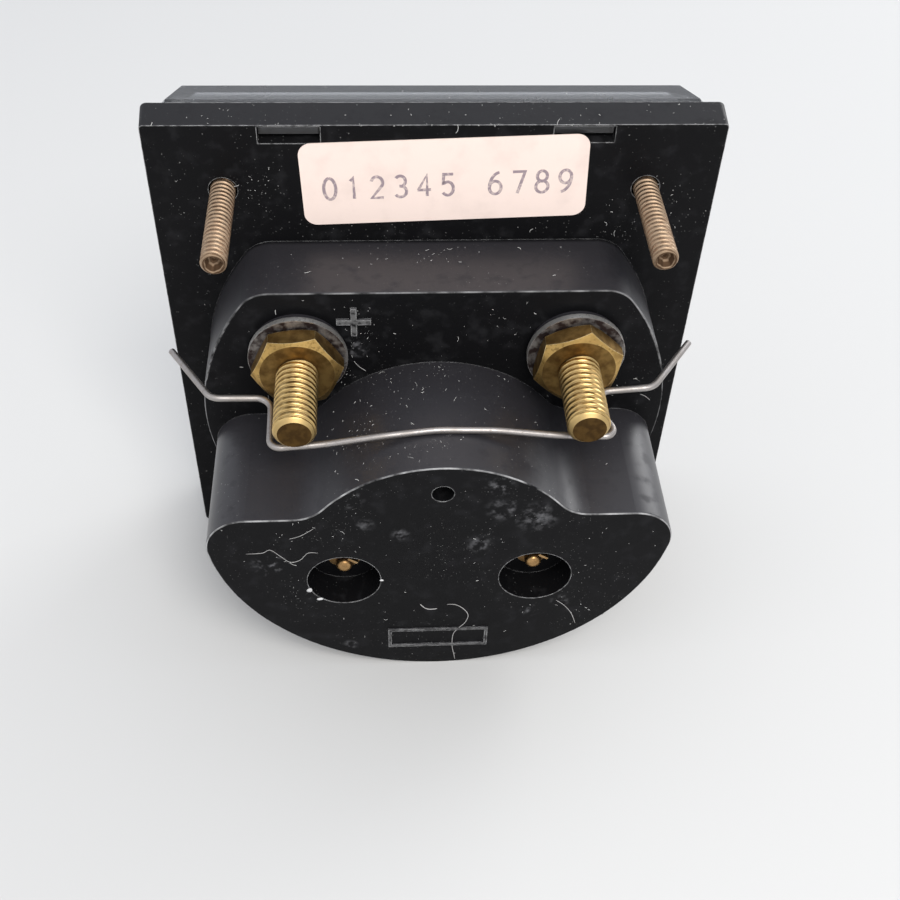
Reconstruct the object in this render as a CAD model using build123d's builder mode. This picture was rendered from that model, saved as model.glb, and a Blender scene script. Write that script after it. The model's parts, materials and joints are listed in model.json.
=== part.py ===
"""Square moving-coil panel meter: moulded case, clear cover, terminals and the movement inside.

Frame: the origin is the centre of the four mounting screws on the rear face of the flange, the face that
seats against a panel. +Y points out of the back, +Z up. Sketches on rear_view planes are drawn as seen
from behind, so their first coordinate runs towards -X.
"""
from build123d import *
import os
from math import cos, degrees, radians, sin, sqrt, tan

os.makedirs("parts", exist_ok=True)

# Flange of the case
flange_width = 64.1
flange_thickness = 4.1
flange_draft = 4.9
flange_corner = 0.8
wall = 2.2

# Round body behind the flange: a shallow upper step and a deep lower barrel
barrel_drop = 1.7
step_radius = 27.9
step_depth = 9.7
step_flat = 18.5
step_corner = 4.0
lower_radius = 27.2
lower_drop = 1.5
barrel_depth = 26.9
shoulder_corner = 4.8
dome_radius = 17.3
dome_drop = 9.2
dome_blend = 4.4
rim_rounding = 0.25

# Marks and holes in the rear of the case
pocket_radius = 4.35
pocket_depth = 4.0
pocket_spread = 11.4
pocket_drop = 11.1
pocket_wall = 1.5
vent_radius = 1.25
vent_rise = 3.95
plus_arm = 3.9
plus_width = 0.65
plus_offset = 9.6
plus_rise = 14.5
plus_height = 0.35
plate_mark_width = 12.4
plate_mark_height = 3.6
plate_mark_drop = 22.9
plate_mark_line = 0.35
plate_mark_relief = 0.2

# Snap slots and the tabs of the clear cover
slot_inner = 12.75
slot_width = 6.8
slot_height = 1.3
slot_skin = 0.5
slot_lead = 0.45
slot_lead_depth = 1.2
notch_depth = 1.3
notch_height = 0.3
tab_clearance = 0.15
tab_setback = 0.5
tab_thickness = 0.7

# Mounting screws
mount_pitch = 47.76
mount_radius = 1.42
mount_reach = 13.6
mount_shank_radius = 1.6
mount_shank_fit = 0.02
mount_head_radius = 2.6
mount_head_height = 1.7
head_clearance = 0.2
screw_slot_width = 0.7
screw_slot_depth = 0.6

# Terminals
terminal_spread = 16.1
terminal_height = 8.5
terminal_radius = 2.415
terminal_shank_radius = 2.22
terminal_reach = 13.8
terminal_head_radius = 3.8
terminal_head_height = 1.6
terminal_fit = 0.02
thread_run_out = 0.3
seat_radius = 5.4
seat_height = 0.85
washer_radius = 5.72
washer_thickness = 0.75
washer_clearance = 0.15
nut_flats = 9.25
nut_height = 2.65
nut_bevel_start = 0.92
nut_bevel_angle = 30.0
nut_turn_positive = 5.3
nut_turn_negative = 19.0
lug_radius = 3.4
lug_thickness = 0.5
lug_tail = 3.6
lug_width = 2.2
lug_tilt = 25.0
terminal_chamfer = 0.55
mount_chamfer = 0.3

# Shorting wire
wire_radius = 0.4
wire_points = [
    (31.33, 6.29, 5.6),
    (26.12, 14.23, 5.35),
    (19.22, 14.17, 5.15),
    (19.11, 21.82, 4.72),
    (13.04, 21.45, 4.88),
    (6.5, 21.7, 6.3),
    (0.49, 21.47, 6.89),
    (-6.03, 21.2, 6.4),
    (-13.15, 20.72, 4.93),
    (-20.24, 20.9, 4.72),
    (-18.68, 17.3, 4.95),
    (-18.87, 14.15, 5.37),
    (-25.3, 13.53, 5.4),
    (-30.84, 5.99, 5.6),
]
wire_bends = [1.9, 1.8, 1.2, 12.0, 16.0, 12.0, 16.0, 12.0, 1.1, 2.2, 1.2, 2.2]

# Paper label
label_width = 32.2
label_height = 10.65
label_corner = 1.5
label_thickness = 0.12
label_shift = 0.94
label_height_above = 25.06
label_turn = 2.1

# Clear cover
cover_inset = 0.1
cover_corner = 2.6
cover_straight = 0.85
cover_depth = 5.9
cover_taper = 1.2
cover_wall = 1.7
cover_front_wall = 1.5

# Dial, mask and zero adjuster
dial_clearance = 1.2
dial_top_inset = 0.4
dial_bottom = -16.5
dial_thickness = 0.5
dial_opening_radius = 11.5
dial_screw_inset = 2.0
dial_screw_height = -8.5
dial_screw_radius = 0.9
dial_screw_head_radius = 1.7
dial_screw_head_height = 0.8
dial_screw_length = 3.0
mask_top = 1.0
mask_thickness = 0.5
mask_clearance = 0.3
adjuster_drop = 8.0
adjuster_radius = 1.5
adjuster_head_radius = 2.75
adjuster_head_height = 1.0
adjuster_recess = 0.7
adjuster_retainer_radius = 2.2
adjuster_retainer_height = 0.5
eccentric_offset = 0.8
eccentric_radius = 0.4
pin_overrun = 0.3
adjuster_play = 0.1
adjuster_rounding = 0.3
dial_corner = 1.5
fine_slot = 0.4

# Movement: everything turns about the dome's centre
rest_angle = 45.0
core_radius = 6.0
core_front = 3.0
core_share = 0.678
ring_inner_radius = 8.7
ring_outer_radius = 13.4
spacer_width = 4.0
coil_inner = 6.6
former_thickness = 0.25
winding_build = 0.95
coil_end_gap = 0.85
former_corner = 0.4
former_half_width = 1.3
winding_corner = 0.65
winding_half_width = 1.05
foot_radius = 1.6
foot_height = 0.25
staff_radius = 0.5
collet_radius = 0.9
front_staff_length = 2.4
rear_staff_length = 1.9
pivot_radius = 0.25
pivot_length = 0.4
pivot_clearance = 0.06
spring_gap = 0.06
spring_setback = 0.25
spring_turn_pitch = 0.8
spring_half_turns = 6
spring_thickness = 0.16
spring_width = 0.5
pointer_root_radius = 1.5
pointer_root_front = 0.35
pointer_thickness = 0.25
pointer_bend_start = 5.0
pointer_bend_end = 9.5
pointer_length = 32.0
pointer_plane = -5.75
pointer_root_width = 1.1
pointer_tip_width = 0.3
tail_length = 6.6
tail_width = 0.8
side_arm_length = 4.2
side_arm_width = 0.7
tail_weight_radius = 0.75
tail_weight_length = 2.5
side_weight_radius = 0.42
side_weight_length = 1.2
stop_radius = 0.35
stop_distance = 22.0
stop_height = 1.9
stop_margin = 3.0
stop_clearance = 0.1
dial_sweep = 90.0
bridge_foot_inner = 9.5
bridge_foot_outer = 12.6
bridge_half_width = 2.2
bridge_thickness = 0.8
front_bridge_face = -3.2
rear_bridge_height = 5.1
bridge_screw_radius = 0.8
bridge_screw_head_radius = 1.5
bridge_screw_head_height = 0.8
bridge_screw_grip = 2.4
screw_clearance = 0.05
jewel_radius = 1.2
jewel_stand_out = 1.2
jewel_overrun = 0.3
arm_ring_radius = 2.4
arm_thickness = 0.4
arm_clearance = 0.06
arm_gap = 0.2
fork_width = 2.6
fork_slot = 1.0
fork_reach = 8.9
fork_root = 6.0
anchor_width = 1.0
anchor_thickness = 0.4
post_radius = 1.6
post_pin_radius = 1.0
post_pin_reach = 2.1
post_rounding = 0.6
pocket_tab_width = 1.3
pocket_tab_thickness = 0.3
pocket_tab_reach = 2.3
pocket_tab_angle = -35.0
lead_radius = 0.45
lead_side = 5.0
lead_overrun = 2.7

# Worked out from the sizes above
barrel_centre = -barrel_drop
lower_centre = barrel_centre - lower_drop
pivot_height = barrel_centre - dome_drop
front_half = flange_width / 2 + flange_thickness * tan(radians(flange_draft))
step_inside = step_depth - wall
barrel_inside = barrel_depth - wall
pocket_floor = barrel_depth - pocket_depth
boss_face = pocket_floor - wall
pocket_height = barrel_centre - pocket_drop
slot_top = flange_width / 2 - slot_skin
slot_bottom = slot_top - slot_height
core_length = core_share * (boss_face - core_front)
core_back = core_front + core_length
rear_bridge_face = core_back + rear_bridge_height
lead_depth = core_back + lead_overrun
seat_back = step_depth + seat_height
cover_back = -flange_thickness
cover_crease = cover_back - cover_straight
cover_front = cover_back - cover_depth
cover_inner_face = cover_front + cover_front_wall
cover_half = front_half - cover_inset
cover_front_half = cover_half - cover_taper
adjuster_height = pivot_height - adjuster_drop
dial_face = cover_back - dial_thickness
dial_half_width = cover_half - cover_wall - dial_clearance
dial_top = dial_half_width - dial_top_inset
dial_screw_spread = dial_half_width - dial_screw_inset


def rear_view(depth):
    """Plane across the meter at this depth, seen from behind: first axis -X, second axis +Z, normal +Y."""
    return Plane(origin=(0, depth, 0), x_dir=(-1, 0, 0), z_dir=(0, 1, 0))


def turned_view(depth, angle):
    """The same view centred on the pivot, its second axis turned by this angle from straight up."""
    turn = radians(angle)
    return Plane(origin=(0, depth, pivot_height), x_dir=(-cos(turn), 0, -sin(turn)), z_dir=(0, 1, 0))


def step_outline(inset):
    """Circle of the upper step, cut level at the top, with rounded corners; inset gives the inner wall."""
    with BuildSketch() as outline:
        with Locations((0, barrel_centre)):
            Circle(step_radius - inset)
        with Locations((0, barrel_centre + step_flat - inset)):
            Rectangle(3 * step_radius, step_radius, align=(Align.CENTER, Align.MIN), mode=Mode.SUBTRACT)
        fillet(outline.vertices().group_by(Axis.Y)[-1], step_corner - inset)
    return outline.sketch


def lower_outline(inset):
    """Half round barrel below level shoulders, with the dome's circle rising between them."""
    shelf = barrel_centre - inset
    with BuildSketch() as outline:
        with Locations((0, lower_centre)):
            Circle(lower_radius - inset)
        with Locations((0, shelf)):
            Rectangle(3 * step_radius, 2 * step_radius, align=(Align.CENTER, Align.MIN), mode=Mode.SUBTRACT)
        with Locations((0, pivot_height)):
            Circle(dome_radius - inset)
        on_shelf = outline.vertices().filter_by_position(Axis.Y, shelf - 0.01, shelf + 0.01).sort_by(Axis.X)
        fillet(on_shelf[1:3], dome_blend + inset)
        on_shelf = outline.vertices().filter_by_position(Axis.Y, shelf - 0.01, shelf + 0.01).sort_by(Axis.X)
        fillet([on_shelf[0], on_shelf[-1]], shoulder_corner - inset)
    return outline.sketch


pocket_places = [(-pocket_spread, pocket_height), (pocket_spread, pocket_height)]
mount_places = {
    "upper_left": (-mount_pitch / 2, mount_pitch / 2),
    "upper_right": (mount_pitch / 2, mount_pitch / 2),
    "lower_left": (-mount_pitch / 2, -mount_pitch / 2),
    "lower_right": (mount_pitch / 2, -mount_pitch / 2),
}
terminal_places = {
    "positive": (-terminal_spread, terminal_height),
    "negative": (terminal_spread, terminal_height),
}
slot_centre = slot_inner + slot_width / 2
slot_places = [(-slot_centre, 0), (slot_centre, 0)]
dial_screw_places = {
    "left": (-dial_screw_spread, dial_screw_height),
    "right": (dial_screw_spread, dial_screw_height),
}

# Rear housing, one moulding
with BuildPart() as rear_housing:
    with BuildSketch(rear_view(-flange_thickness)):
        RectangleRounded(2 * front_half, 2 * front_half, flange_corner)
    extrude(amount=flange_thickness, taper=flange_draft)
    with BuildSketch(rear_view(0)):
        add(step_outline(0))
    extrude(amount=step_depth)
    fillet(rear_housing.faces().sort_by(Axis.Y)[-1].outer_wire().edges(), rim_rounding)
    with BuildSketch(rear_view(0)):
        add(lower_outline(0))
    extrude(amount=barrel_depth)
    fillet(rear_housing.faces().sort_by(Axis.Y)[-1].outer_wire().edges(), rim_rounding)

    # Hollow of the upper step, then of the barrel with the pocket wells left standing
    with BuildSketch(rear_view(-flange_thickness)):
        add(step_outline(wall))
    extrude(amount=flange_thickness + step_inside, mode=Mode.SUBTRACT)
    with BuildSketch(rear_view(-flange_thickness)):
        add(lower_outline(wall))
    extrude(amount=flange_thickness + boss_face, mode=Mode.SUBTRACT)
    with BuildSketch(rear_view(boss_face)):
        add(lower_outline(wall))
        with Locations(*pocket_places):
            Circle(pocket_radius + pocket_wall, mode=Mode.SUBTRACT)
    extrude(amount=barrel_inside - boss_face, mode=Mode.SUBTRACT)

    # Pockets with a hole for each post, and the vent
    with BuildSketch(rear_view(pocket_floor)):
        with Locations(*pocket_places):
            Circle(pocket_radius)
    extrude(amount=pocket_depth, mode=Mode.SUBTRACT)
    with BuildSketch(rear_view(boss_face)):
        with Locations(*pocket_places):
            Circle(post_pin_radius + screw_clearance)
    extrude(amount=wall, mode=Mode.SUBTRACT)
    with BuildSketch(rear_view(barrel_inside)):
        with Locations((0, barrel_centre + vent_rise)):
            Circle(vent_radius)
    extrude(amount=wall, mode=Mode.SUBTRACT)

    # Raised seats and holes for the terminals, mounting holes with counterbores from the front, dial screw holes
    with BuildSketch(rear_view(step_depth)):
        with Locations(*terminal_places.values()):
            Circle(seat_radius)
    extrude(amount=seat_height)
    with BuildSketch(rear_view(step_inside)):
        with Locations(*terminal_places.values()):
            Circle(terminal_radius + terminal_fit)
    extrude(amount=wall + seat_height, mode=Mode.SUBTRACT)
    with BuildSketch(rear_view(-flange_thickness)):
        with Locations(*mount_places.values()):
            Circle(mount_shank_radius + mount_shank_fit)
    extrude(amount=flange_thickness, mode=Mode.SUBTRACT)
    with BuildSketch(rear_view(-flange_thickness)):
        with Locations(*mount_places.values()):
            Circle(mount_head_radius + head_clearance)
    extrude(amount=mount_head_height + head_clearance, mode=Mode.SUBTRACT)
    with BuildSketch(rear_view(-flange_thickness)):
        with Locations(*dial_screw_places.values()):
            Circle(dial_screw_radius + screw_clearance)
    extrude(amount=dial_screw_length, mode=Mode.SUBTRACT)

    # Snap slots along the top and bottom edges: hole, notch for the hook, sloped lead
    for side in (1, -1):
        with BuildSketch(rear_view(-flange_thickness)):
            with Locations(*[(x, side * (slot_bottom + slot_height / 2)) for x, _ in slot_places]):
                Rectangle(slot_width, slot_height)
        extrude(amount=flange_thickness, mode=Mode.SUBTRACT)
        with BuildSketch(rear_view(-notch_depth)):
            with Locations(*[(x, side * (slot_top + notch_height / 2)) for x, _ in slot_places]):
                Rectangle(slot_width, notch_height)
        extrude(amount=notch_depth, mode=Mode.SUBTRACT)
        for x, _ in slot_places:
            with BuildSketch(Plane(origin=(-x, 0, 0), x_dir=(0, 1, 0), z_dir=(1, 0, 0))):
                with BuildLine():
                    Polyline(
                        (-slot_lead_depth, side * slot_bottom),
                        (0, side * slot_bottom),
                        (0, side * (slot_bottom - slot_lead)),
                        close=True,
                    )
                make_face()
            extrude(amount=slot_width / 2, both=True, mode=Mode.SUBTRACT)

    # Raised marks: the plus beside the positive terminal, and a bare rectangular border low on the barrel
    with BuildSketch(rear_view(step_depth)):
        with Locations((-plus_offset, barrel_centre + plus_rise)):
            Rectangle(plus_arm, plus_width)
            Rectangle(plus_width, plus_arm)
    extrude(amount=plus_height)
    with BuildSketch(rear_view(barrel_depth)):
        with Locations((0, barrel_centre - plate_mark_drop)):
            Rectangle(plate_mark_width, plate_mark_height)
            Rectangle(
                plate_mark_width - 2 * plate_mark_line,
                plate_mark_height - 2 * plate_mark_line,
                mode=Mode.SUBTRACT,
            )
    extrude(amount=plate_mark_relief)
rear_housing.part.label = "rear_housing"
export_step(rear_housing.part, "parts/rear_housing.step")


def cover_outline(half):
    """Square with its corners cut off, of this half width."""
    with BuildSketch() as outline:
        Rectangle(2 * half, 2 * half)
        chamfer(outline.vertices(), cover_corner)
    return outline.sketch


# Clear front cover with four snap tabs
with BuildPart() as front_cover:
    with BuildSketch(rear_view(cover_crease)):
        add(cover_outline(cover_half))
    extrude(amount=cover_straight)
    with BuildSketch(rear_view(cover_front)):
        add(cover_outline(cover_front_half))
    with BuildSketch(rear_view(cover_crease)):
        add(cover_outline(cover_half))
    loft()
    with BuildSketch(rear_view(cover_inner_face)):
        add(cover_outline(cover_front_half - cover_wall))
    with BuildSketch(rear_view(cover_back)):
        add(cover_outline(cover_half - cover_wall))
    loft(mode=Mode.SUBTRACT)
    with BuildSketch(rear_view(cover_front)):
        with Locations((0, adjuster_height)):
            Circle(adjuster_radius + screw_clearance)
    extrude(amount=cover_front_wall, mode=Mode.SUBTRACT)
    with BuildSketch(rear_view(cover_front)):
        with Locations((0, adjuster_height)):
            Circle(adjuster_head_radius + head_clearance)
    extrude(amount=adjuster_recess, mode=Mode.SUBTRACT)
    for side in (1, -1):
        tab_outer = slot_top - tab_clearance
        with BuildSketch(rear_view(cover_back)):
            with Locations(*[(x, side * (tab_outer - tab_thickness / 2)) for x, _ in slot_places]):
                Rectangle(slot_width - 2 * tab_clearance, tab_thickness)
        extrude(amount=flange_thickness - tab_setback)
        with BuildSketch(rear_view(tab_clearance - notch_depth)):
            with Locations(*[(x, side * (tab_outer + notch_height / 2)) for x, _ in slot_places]):
                Rectangle(slot_width - 2 * tab_clearance, notch_height)
        extrude(amount=notch_depth - tab_clearance - tab_setback)
front_cover.part.label = "front_cover"
export_step(front_cover.part, "parts/front_cover.step")

# Lower mask behind the cover's front wall
with BuildPart() as lower_mask:
    mask_half = cover_front_half - cover_wall - mask_clearance
    with BuildSketch(rear_view(cover_inner_face)):
        add(cover_outline(mask_half))
        with Locations((0, mask_top)):
            Rectangle(3 * mask_half, 2 * mask_half, align=(Align.CENTER, Align.MIN), mode=Mode.SUBTRACT)
        with Locations((0, adjuster_height)):
            Circle(adjuster_radius + head_clearance, mode=Mode.SUBTRACT)
    extrude(amount=mask_thickness)
lower_mask.part.label = "lower_mask"
export_step(lower_mask.part, "parts/lower_mask.step")

# Mounting screws, fitted from the front, heads sunk in the flange
head_seat = mount_head_height + head_clearance - flange_thickness
for place, (x, z) in mount_places.items():
    with BuildPart() as mounting_screw:
        with BuildSketch(rear_view(head_seat - mount_head_height)):
            with Locations((x, z)):
                Circle(mount_head_radius)
        extrude(amount=mount_head_height)
        with BuildSketch(rear_view(head_seat)):
            with Locations((x, z)):
                Circle(mount_shank_radius)
        extrude(amount=-head_seat)
        with BuildSketch(rear_view(0)):
            with Locations((x, z)):
                Circle(mount_radius)
        extrude(amount=mount_reach)
        chamfer(mounting_screw.faces().sort_by(Axis.Y)[-1].edges(), mount_chamfer)
        with BuildSketch(rear_view(head_seat - mount_head_height)):
            with Locations((x, z)):
                Rectangle(3 * mount_head_radius, screw_slot_width)
        extrude(amount=screw_slot_depth, mode=Mode.SUBTRACT)
    mounting_screw.part.label = f"mounting_screw_{place}"
    export_step(mounting_screw.part, f"parts/mounting_screw_{place}.step")

# Terminals: stud with its head inside the case, solder lug, washer and nut
nut_turns = {"positive": nut_turn_positive, "negative": nut_turn_negative}
washer_back = seat_back + washer_thickness
nut_back = washer_back + nut_height
thread_start = nut_back + thread_run_out
nut_corner_radius = nut_flats / sqrt(3)
bevel_radius = nut_bevel_start * nut_flats / 2
bevel_drop = (nut_corner_radius - bevel_radius) * tan(radians(nut_bevel_angle))
for sign, (x, z) in terminal_places.items():
    toward_middle = 1 if x < 0 else -1
    with BuildPart() as solder_lug:
        with BuildSketch(rear_view(step_inside - lug_thickness)):
            with Locations((x, z)):
                Circle(lug_radius)
            with Locations(Location((x, z), toward_middle * lug_tilt)):
                Rectangle(lug_width, lug_radius + lug_tail, align=(Align.CENTER, Align.MAX))
            with Locations((x, z)):
                Circle(terminal_radius + terminal_fit, mode=Mode.SUBTRACT)
        extrude(amount=lug_thickness)
    solder_lug.part.label = f"solder_lug_{sign}"
    export_step(solder_lug.part, f"parts/solder_lug_{sign}.step")

    with BuildPart() as terminal_stud:
        with BuildSketch(rear_view(step_inside - lug_thickness - terminal_head_height)):
            with Locations((x, z)):
                Circle(terminal_head_radius)
        extrude(amount=terminal_head_height)
        with BuildSketch(rear_view(step_inside - lug_thickness)):
            with Locations((x, z)):
                Circle(terminal_shank_radius)
        extrude(amount=thread_start - step_inside + lug_thickness)
        with BuildSketch(rear_view(thread_start)):
            with Locations((x, z)):
                Circle(terminal_radius)
        extrude(amount=step_depth + terminal_reach - thread_start)
        chamfer(terminal_stud.faces().sort_by(Axis.Y)[-1].edges(), terminal_chamfer)
    terminal_stud.part.label = f"terminal_stud_{sign}"
    export_step(terminal_stud.part, f"parts/terminal_stud_{sign}.step")

    with BuildPart() as terminal_washer:
        with BuildSketch(rear_view(seat_back)):
            with Locations((x, z)):
                Circle(washer_radius)
                Circle(terminal_radius + washer_clearance, mode=Mode.SUBTRACT)
        extrude(amount=washer_thickness)
    terminal_washer.part.label = f"terminal_washer_{sign}"
    export_step(terminal_washer.part, f"parts/terminal_washer_{sign}.step")

    with BuildPart() as terminal_nut:
        with BuildSketch(rear_view(washer_back)):
            with Locations((x, z)):
                RegularPolygon(nut_flats / 2, 6, major_radius=False, rotation=nut_turns[sign])
                Circle(terminal_shank_radius + terminal_fit, mode=Mode.SUBTRACT)
        extrude(amount=nut_height)
        with BuildSketch(Plane(origin=(-x, washer_back, z), x_dir=(1, 0, 0), z_dir=(0, 0, 1))):
            with BuildLine():
                Polyline(
                    (0, 0),
                    (bevel_radius, 0),
                    (nut_corner_radius, bevel_drop),
                    (nut_corner_radius, nut_height - bevel_drop),
                    (bevel_radius, nut_height),
                    (0, nut_height),
                    close=True,
                )
            make_face()
        revolve(axis=Axis((-x, 0, z), (0, 1, 0)), mode=Mode.INTERSECT)
    terminal_nut.part.label = f"terminal_nut_{sign}"
    export_step(terminal_nut.part, f"parts/terminal_nut_{sign}.step")

# Shorting wire, one stiff bare wire bent to shape
with BuildPart() as shorting_wire:
    with BuildLine() as wire_path:
        FilletPolyline(*wire_points, radius=wire_bends)
    with BuildSketch(Plane(origin=wire_path.line @ 0, z_dir=wire_path.line % 0)):
        Circle(wire_radius)
    sweep()
shorting_wire.part.label = "shorting_wire"
export_step(shorting_wire.part, "parts/shorting_wire.step")

# Paper label
with BuildPart() as paper_label:
    with BuildSketch(rear_view(0)):
        with Locations((label_shift, label_height_above)):
            RectangleRounded(label_width, label_height, label_corner, rotation=label_turn)
    extrude(amount=label_thickness)
paper_label.part.label = "paper_label"
export_step(paper_label.part, "parts/paper_label.step")

# Movement posts with their ends showing in the pockets, and the solder tab beside each
for name, (x, z) in zip(("left", "right"), pocket_places):
    with BuildPart() as movement_post:
        with BuildSketch(rear_view(core_back)):
            with Locations((x, z)):
                Circle(post_radius)
        extrude(amount=boss_face - core_back)
        with BuildSketch(rear_view(core_back - bridge_screw_grip)):
            with Locations((x, z)):
                Circle(post_pin_radius)
        extrude(amount=bridge_screw_grip + pocket_floor - core_back + post_pin_reach)
        fillet(movement_post.faces().sort_by(Axis.Y)[-1].edges(), post_rounding)
    movement_post.part.label = f"movement_post_{name}"
    export_step(movement_post.part, f"parts/movement_post_{name}.step")

    with BuildPart() as pocket_tab:
        with BuildSketch(rear_view(pocket_floor)):
            with Locations((x, z)):
                Circle(2 * post_pin_radius)
                Circle(post_pin_radius + screw_clearance, mode=Mode.SUBTRACT)
        extrude(amount=pocket_tab_thickness)
        with BuildSketch(rear_view(pocket_floor)):
            with Locations(Location((x, z), pocket_tab_angle)):
                with Locations((0, 2 * post_pin_radius)):
                    Rectangle(pocket_tab_width, pocket_tab_thickness, align=(Align.CENTER, Align.MAX))
        extrude(amount=pocket_tab_reach)
    pocket_tab.part.label = f"pocket_tab_{name}"
    export_step(pocket_tab.part, f"parts/pocket_tab_{name}.step")

# Yoke ring, with holes for the posts and the bridge screws
foot_middle = (bridge_foot_inner + bridge_foot_outer) / 2
with BuildPart() as yoke_ring:
    with BuildSketch(rear_view(core_front)):
        with Locations((0, pivot_height)):
            Circle(ring_outer_radius)
            Circle(ring_inner_radius, mode=Mode.SUBTRACT)
    extrude(amount=core_length)
    with BuildSketch(rear_view(core_front)):
        with Locations((-foot_middle, pivot_height), (foot_middle, pivot_height)):
            Circle(bridge_screw_radius + screw_clearance)
    extrude(amount=bridge_screw_grip, mode=Mode.SUBTRACT)
    with BuildSketch(rear_view(core_back - bridge_screw_grip)):
        with Locations((0, pivot_height - foot_middle), (0, pivot_height + foot_middle)):
            Circle(bridge_screw_radius + screw_clearance)
        with Locations(*pocket_places):
            Circle(post_pin_radius + screw_clearance)
    extrude(amount=bridge_screw_grip, mode=Mode.SUBTRACT)
yoke_ring.part.label = "yoke_ring"
export_step(yoke_ring.part, "parts/yoke_ring.step")

# Core magnet, with a flat at top and bottom where the spacers seat
core_flat = sqrt(core_radius**2 - (spacer_width / 2) ** 2)
with BuildPart() as core_magnet:
    with BuildSketch(turned_view(core_front, 0)):
        Circle(core_radius)
        with Locations((0, core_flat), (0, -core_flat - core_radius)):
            Rectangle(2 * core_radius, core_radius, align=(Align.CENTER, Align.MIN), mode=Mode.SUBTRACT)
    extrude(amount=core_length)
core_magnet.part.label = "core_magnet"
export_step(core_magnet.part, "parts/core_magnet.step")

for name, side in (("upper", 1), ("lower", -1)):
    with BuildPart() as core_spacer:
        with BuildSketch(turned_view(core_front, 0)):
            Circle(ring_inner_radius)
            with Locations((0, side * (core_flat + core_radius))):
                Rectangle(spacer_width, 2 * core_radius, mode=Mode.INTERSECT)
        extrude(amount=core_length)
    core_spacer.part.label = f"core_spacer_{name}"
    export_step(core_spacer.part, f"parts/core_spacer_{name}.step")

# Bridges that carry the jewels: the front one level, the rear one upright
front_jewel_end = front_bridge_face + bridge_thickness + arm_gap + arm_thickness + jewel_overrun
rear_jewel_end = rear_bridge_face - jewel_stand_out
with BuildPart() as front_bridge:
    with BuildSketch(Plane.XY.offset(pivot_height)):
        with BuildLine():
            Polyline(
                (-bridge_foot_outer, core_front),
                (-bridge_foot_outer, front_bridge_face),
                (bridge_foot_outer, front_bridge_face),
                (bridge_foot_outer, core_front),
                (bridge_foot_inner, core_front),
                (bridge_foot_inner, front_bridge_face + bridge_thickness),
                (-bridge_foot_inner, front_bridge_face + bridge_thickness),
                (-bridge_foot_inner, core_front),
                close=True,
            )
        make_face()
    extrude(amount=bridge_half_width, both=True)
    with BuildSketch(turned_view(front_bridge_face, 0)):
        with Locations((-foot_middle, 0), (foot_middle, 0)):
            Circle(bridge_screw_radius + screw_clearance)
        Circle(jewel_radius)
    extrude(amount=core_front - front_bridge_face, mode=Mode.SUBTRACT)
front_bridge.part.label = "front_bridge"
export_step(front_bridge.part, "parts/front_bridge.step")

with BuildPart() as rear_bridge:
    with BuildSketch(Plane.YZ):
        with BuildLine():
            Polyline(
                (core_back, pivot_height - bridge_foot_outer),
                (rear_bridge_face, pivot_height - bridge_foot_outer),
                (rear_bridge_face, pivot_height + bridge_foot_outer),
                (core_back, pivot_height + bridge_foot_outer),
                (core_back, pivot_height + bridge_foot_inner),
                (rear_bridge_face - bridge_thickness, pivot_height + bridge_foot_inner),
                (rear_bridge_face - bridge_thickness, pivot_height - bridge_foot_inner),
                (core_back, pivot_height - bridge_foot_inner),
                close=True,
            )
        make_face()
    extrude(amount=bridge_half_width, both=True)
    with BuildSketch(turned_view(core_back, 0)):
        with Locations((0, -foot_middle), (0, foot_middle)):
            Circle(bridge_screw_radius + screw_clearance)
        Circle(jewel_radius)
    extrude(amount=rear_bridge_face - core_back, mode=Mode.SUBTRACT)
rear_bridge.part.label = "rear_bridge"
export_step(rear_bridge.part, "parts/rear_bridge.step")

bridge_screw_places = {
    "front_left": (-foot_middle, 0, front_bridge_face, core_front, 1),
    "front_right": (foot_middle, 0, front_bridge_face, core_front, 1),
    "rear_upper": (0, foot_middle, rear_bridge_face, core_back, -1),
    "rear_lower": (0, -foot_middle, rear_bridge_face, core_back, -1),
}
for name, (x, z, head_face, ring_face, inward) in bridge_screw_places.items():
    with BuildPart() as bridge_screw:
        with BuildSketch(turned_view(head_face, 0)):
            with Locations((x, z)):
                Circle(bridge_screw_head_radius)
        extrude(amount=-inward * bridge_screw_head_height)
        with BuildSketch(turned_view(head_face, 0)):
            with Locations((x, z)):
                Circle(bridge_screw_radius)
        extrude(amount=ring_face - head_face + inward * bridge_screw_grip)
        with BuildSketch(turned_view(head_face - inward * bridge_screw_head_height, 0)):
            with Locations((x, z)):
                Rectangle(3 * bridge_screw_head_radius, fine_slot)
        extrude(amount=inward * fine_slot, mode=Mode.SUBTRACT)
    bridge_screw.part.label = f"bridge_screw_{name}"
    export_step(bridge_screw.part, f"parts/bridge_screw_{name}.step")

# Jewel screws: slotted outside, a cup for the pivot inside
for name, outer, inner, inward in (
    ("front", front_bridge_face - jewel_stand_out, front_jewel_end, 1),
    ("rear", rear_bridge_face + jewel_stand_out, rear_jewel_end, -1),
):
    with BuildPart() as jewel_screw:
        with BuildSketch(turned_view(outer, 0)):
            Circle(jewel_radius)
        extrude(amount=inner - outer)
        with BuildSketch(turned_view(inner, 0)):
            Circle(pivot_radius + pivot_clearance)
        extrude(amount=-inward * (pivot_length + 2 * pivot_clearance), mode=Mode.SUBTRACT)
        with BuildSketch(turned_view(outer, 0)):
            Rectangle(3 * jewel_radius, fine_slot)
        extrude(amount=inward * fine_slot, mode=Mode.SUBTRACT)
    jewel_screw.part.label = f"jewel_screw_{name}"
    export_step(jewel_screw.part, f"parts/jewel_screw_{name}.step")

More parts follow.
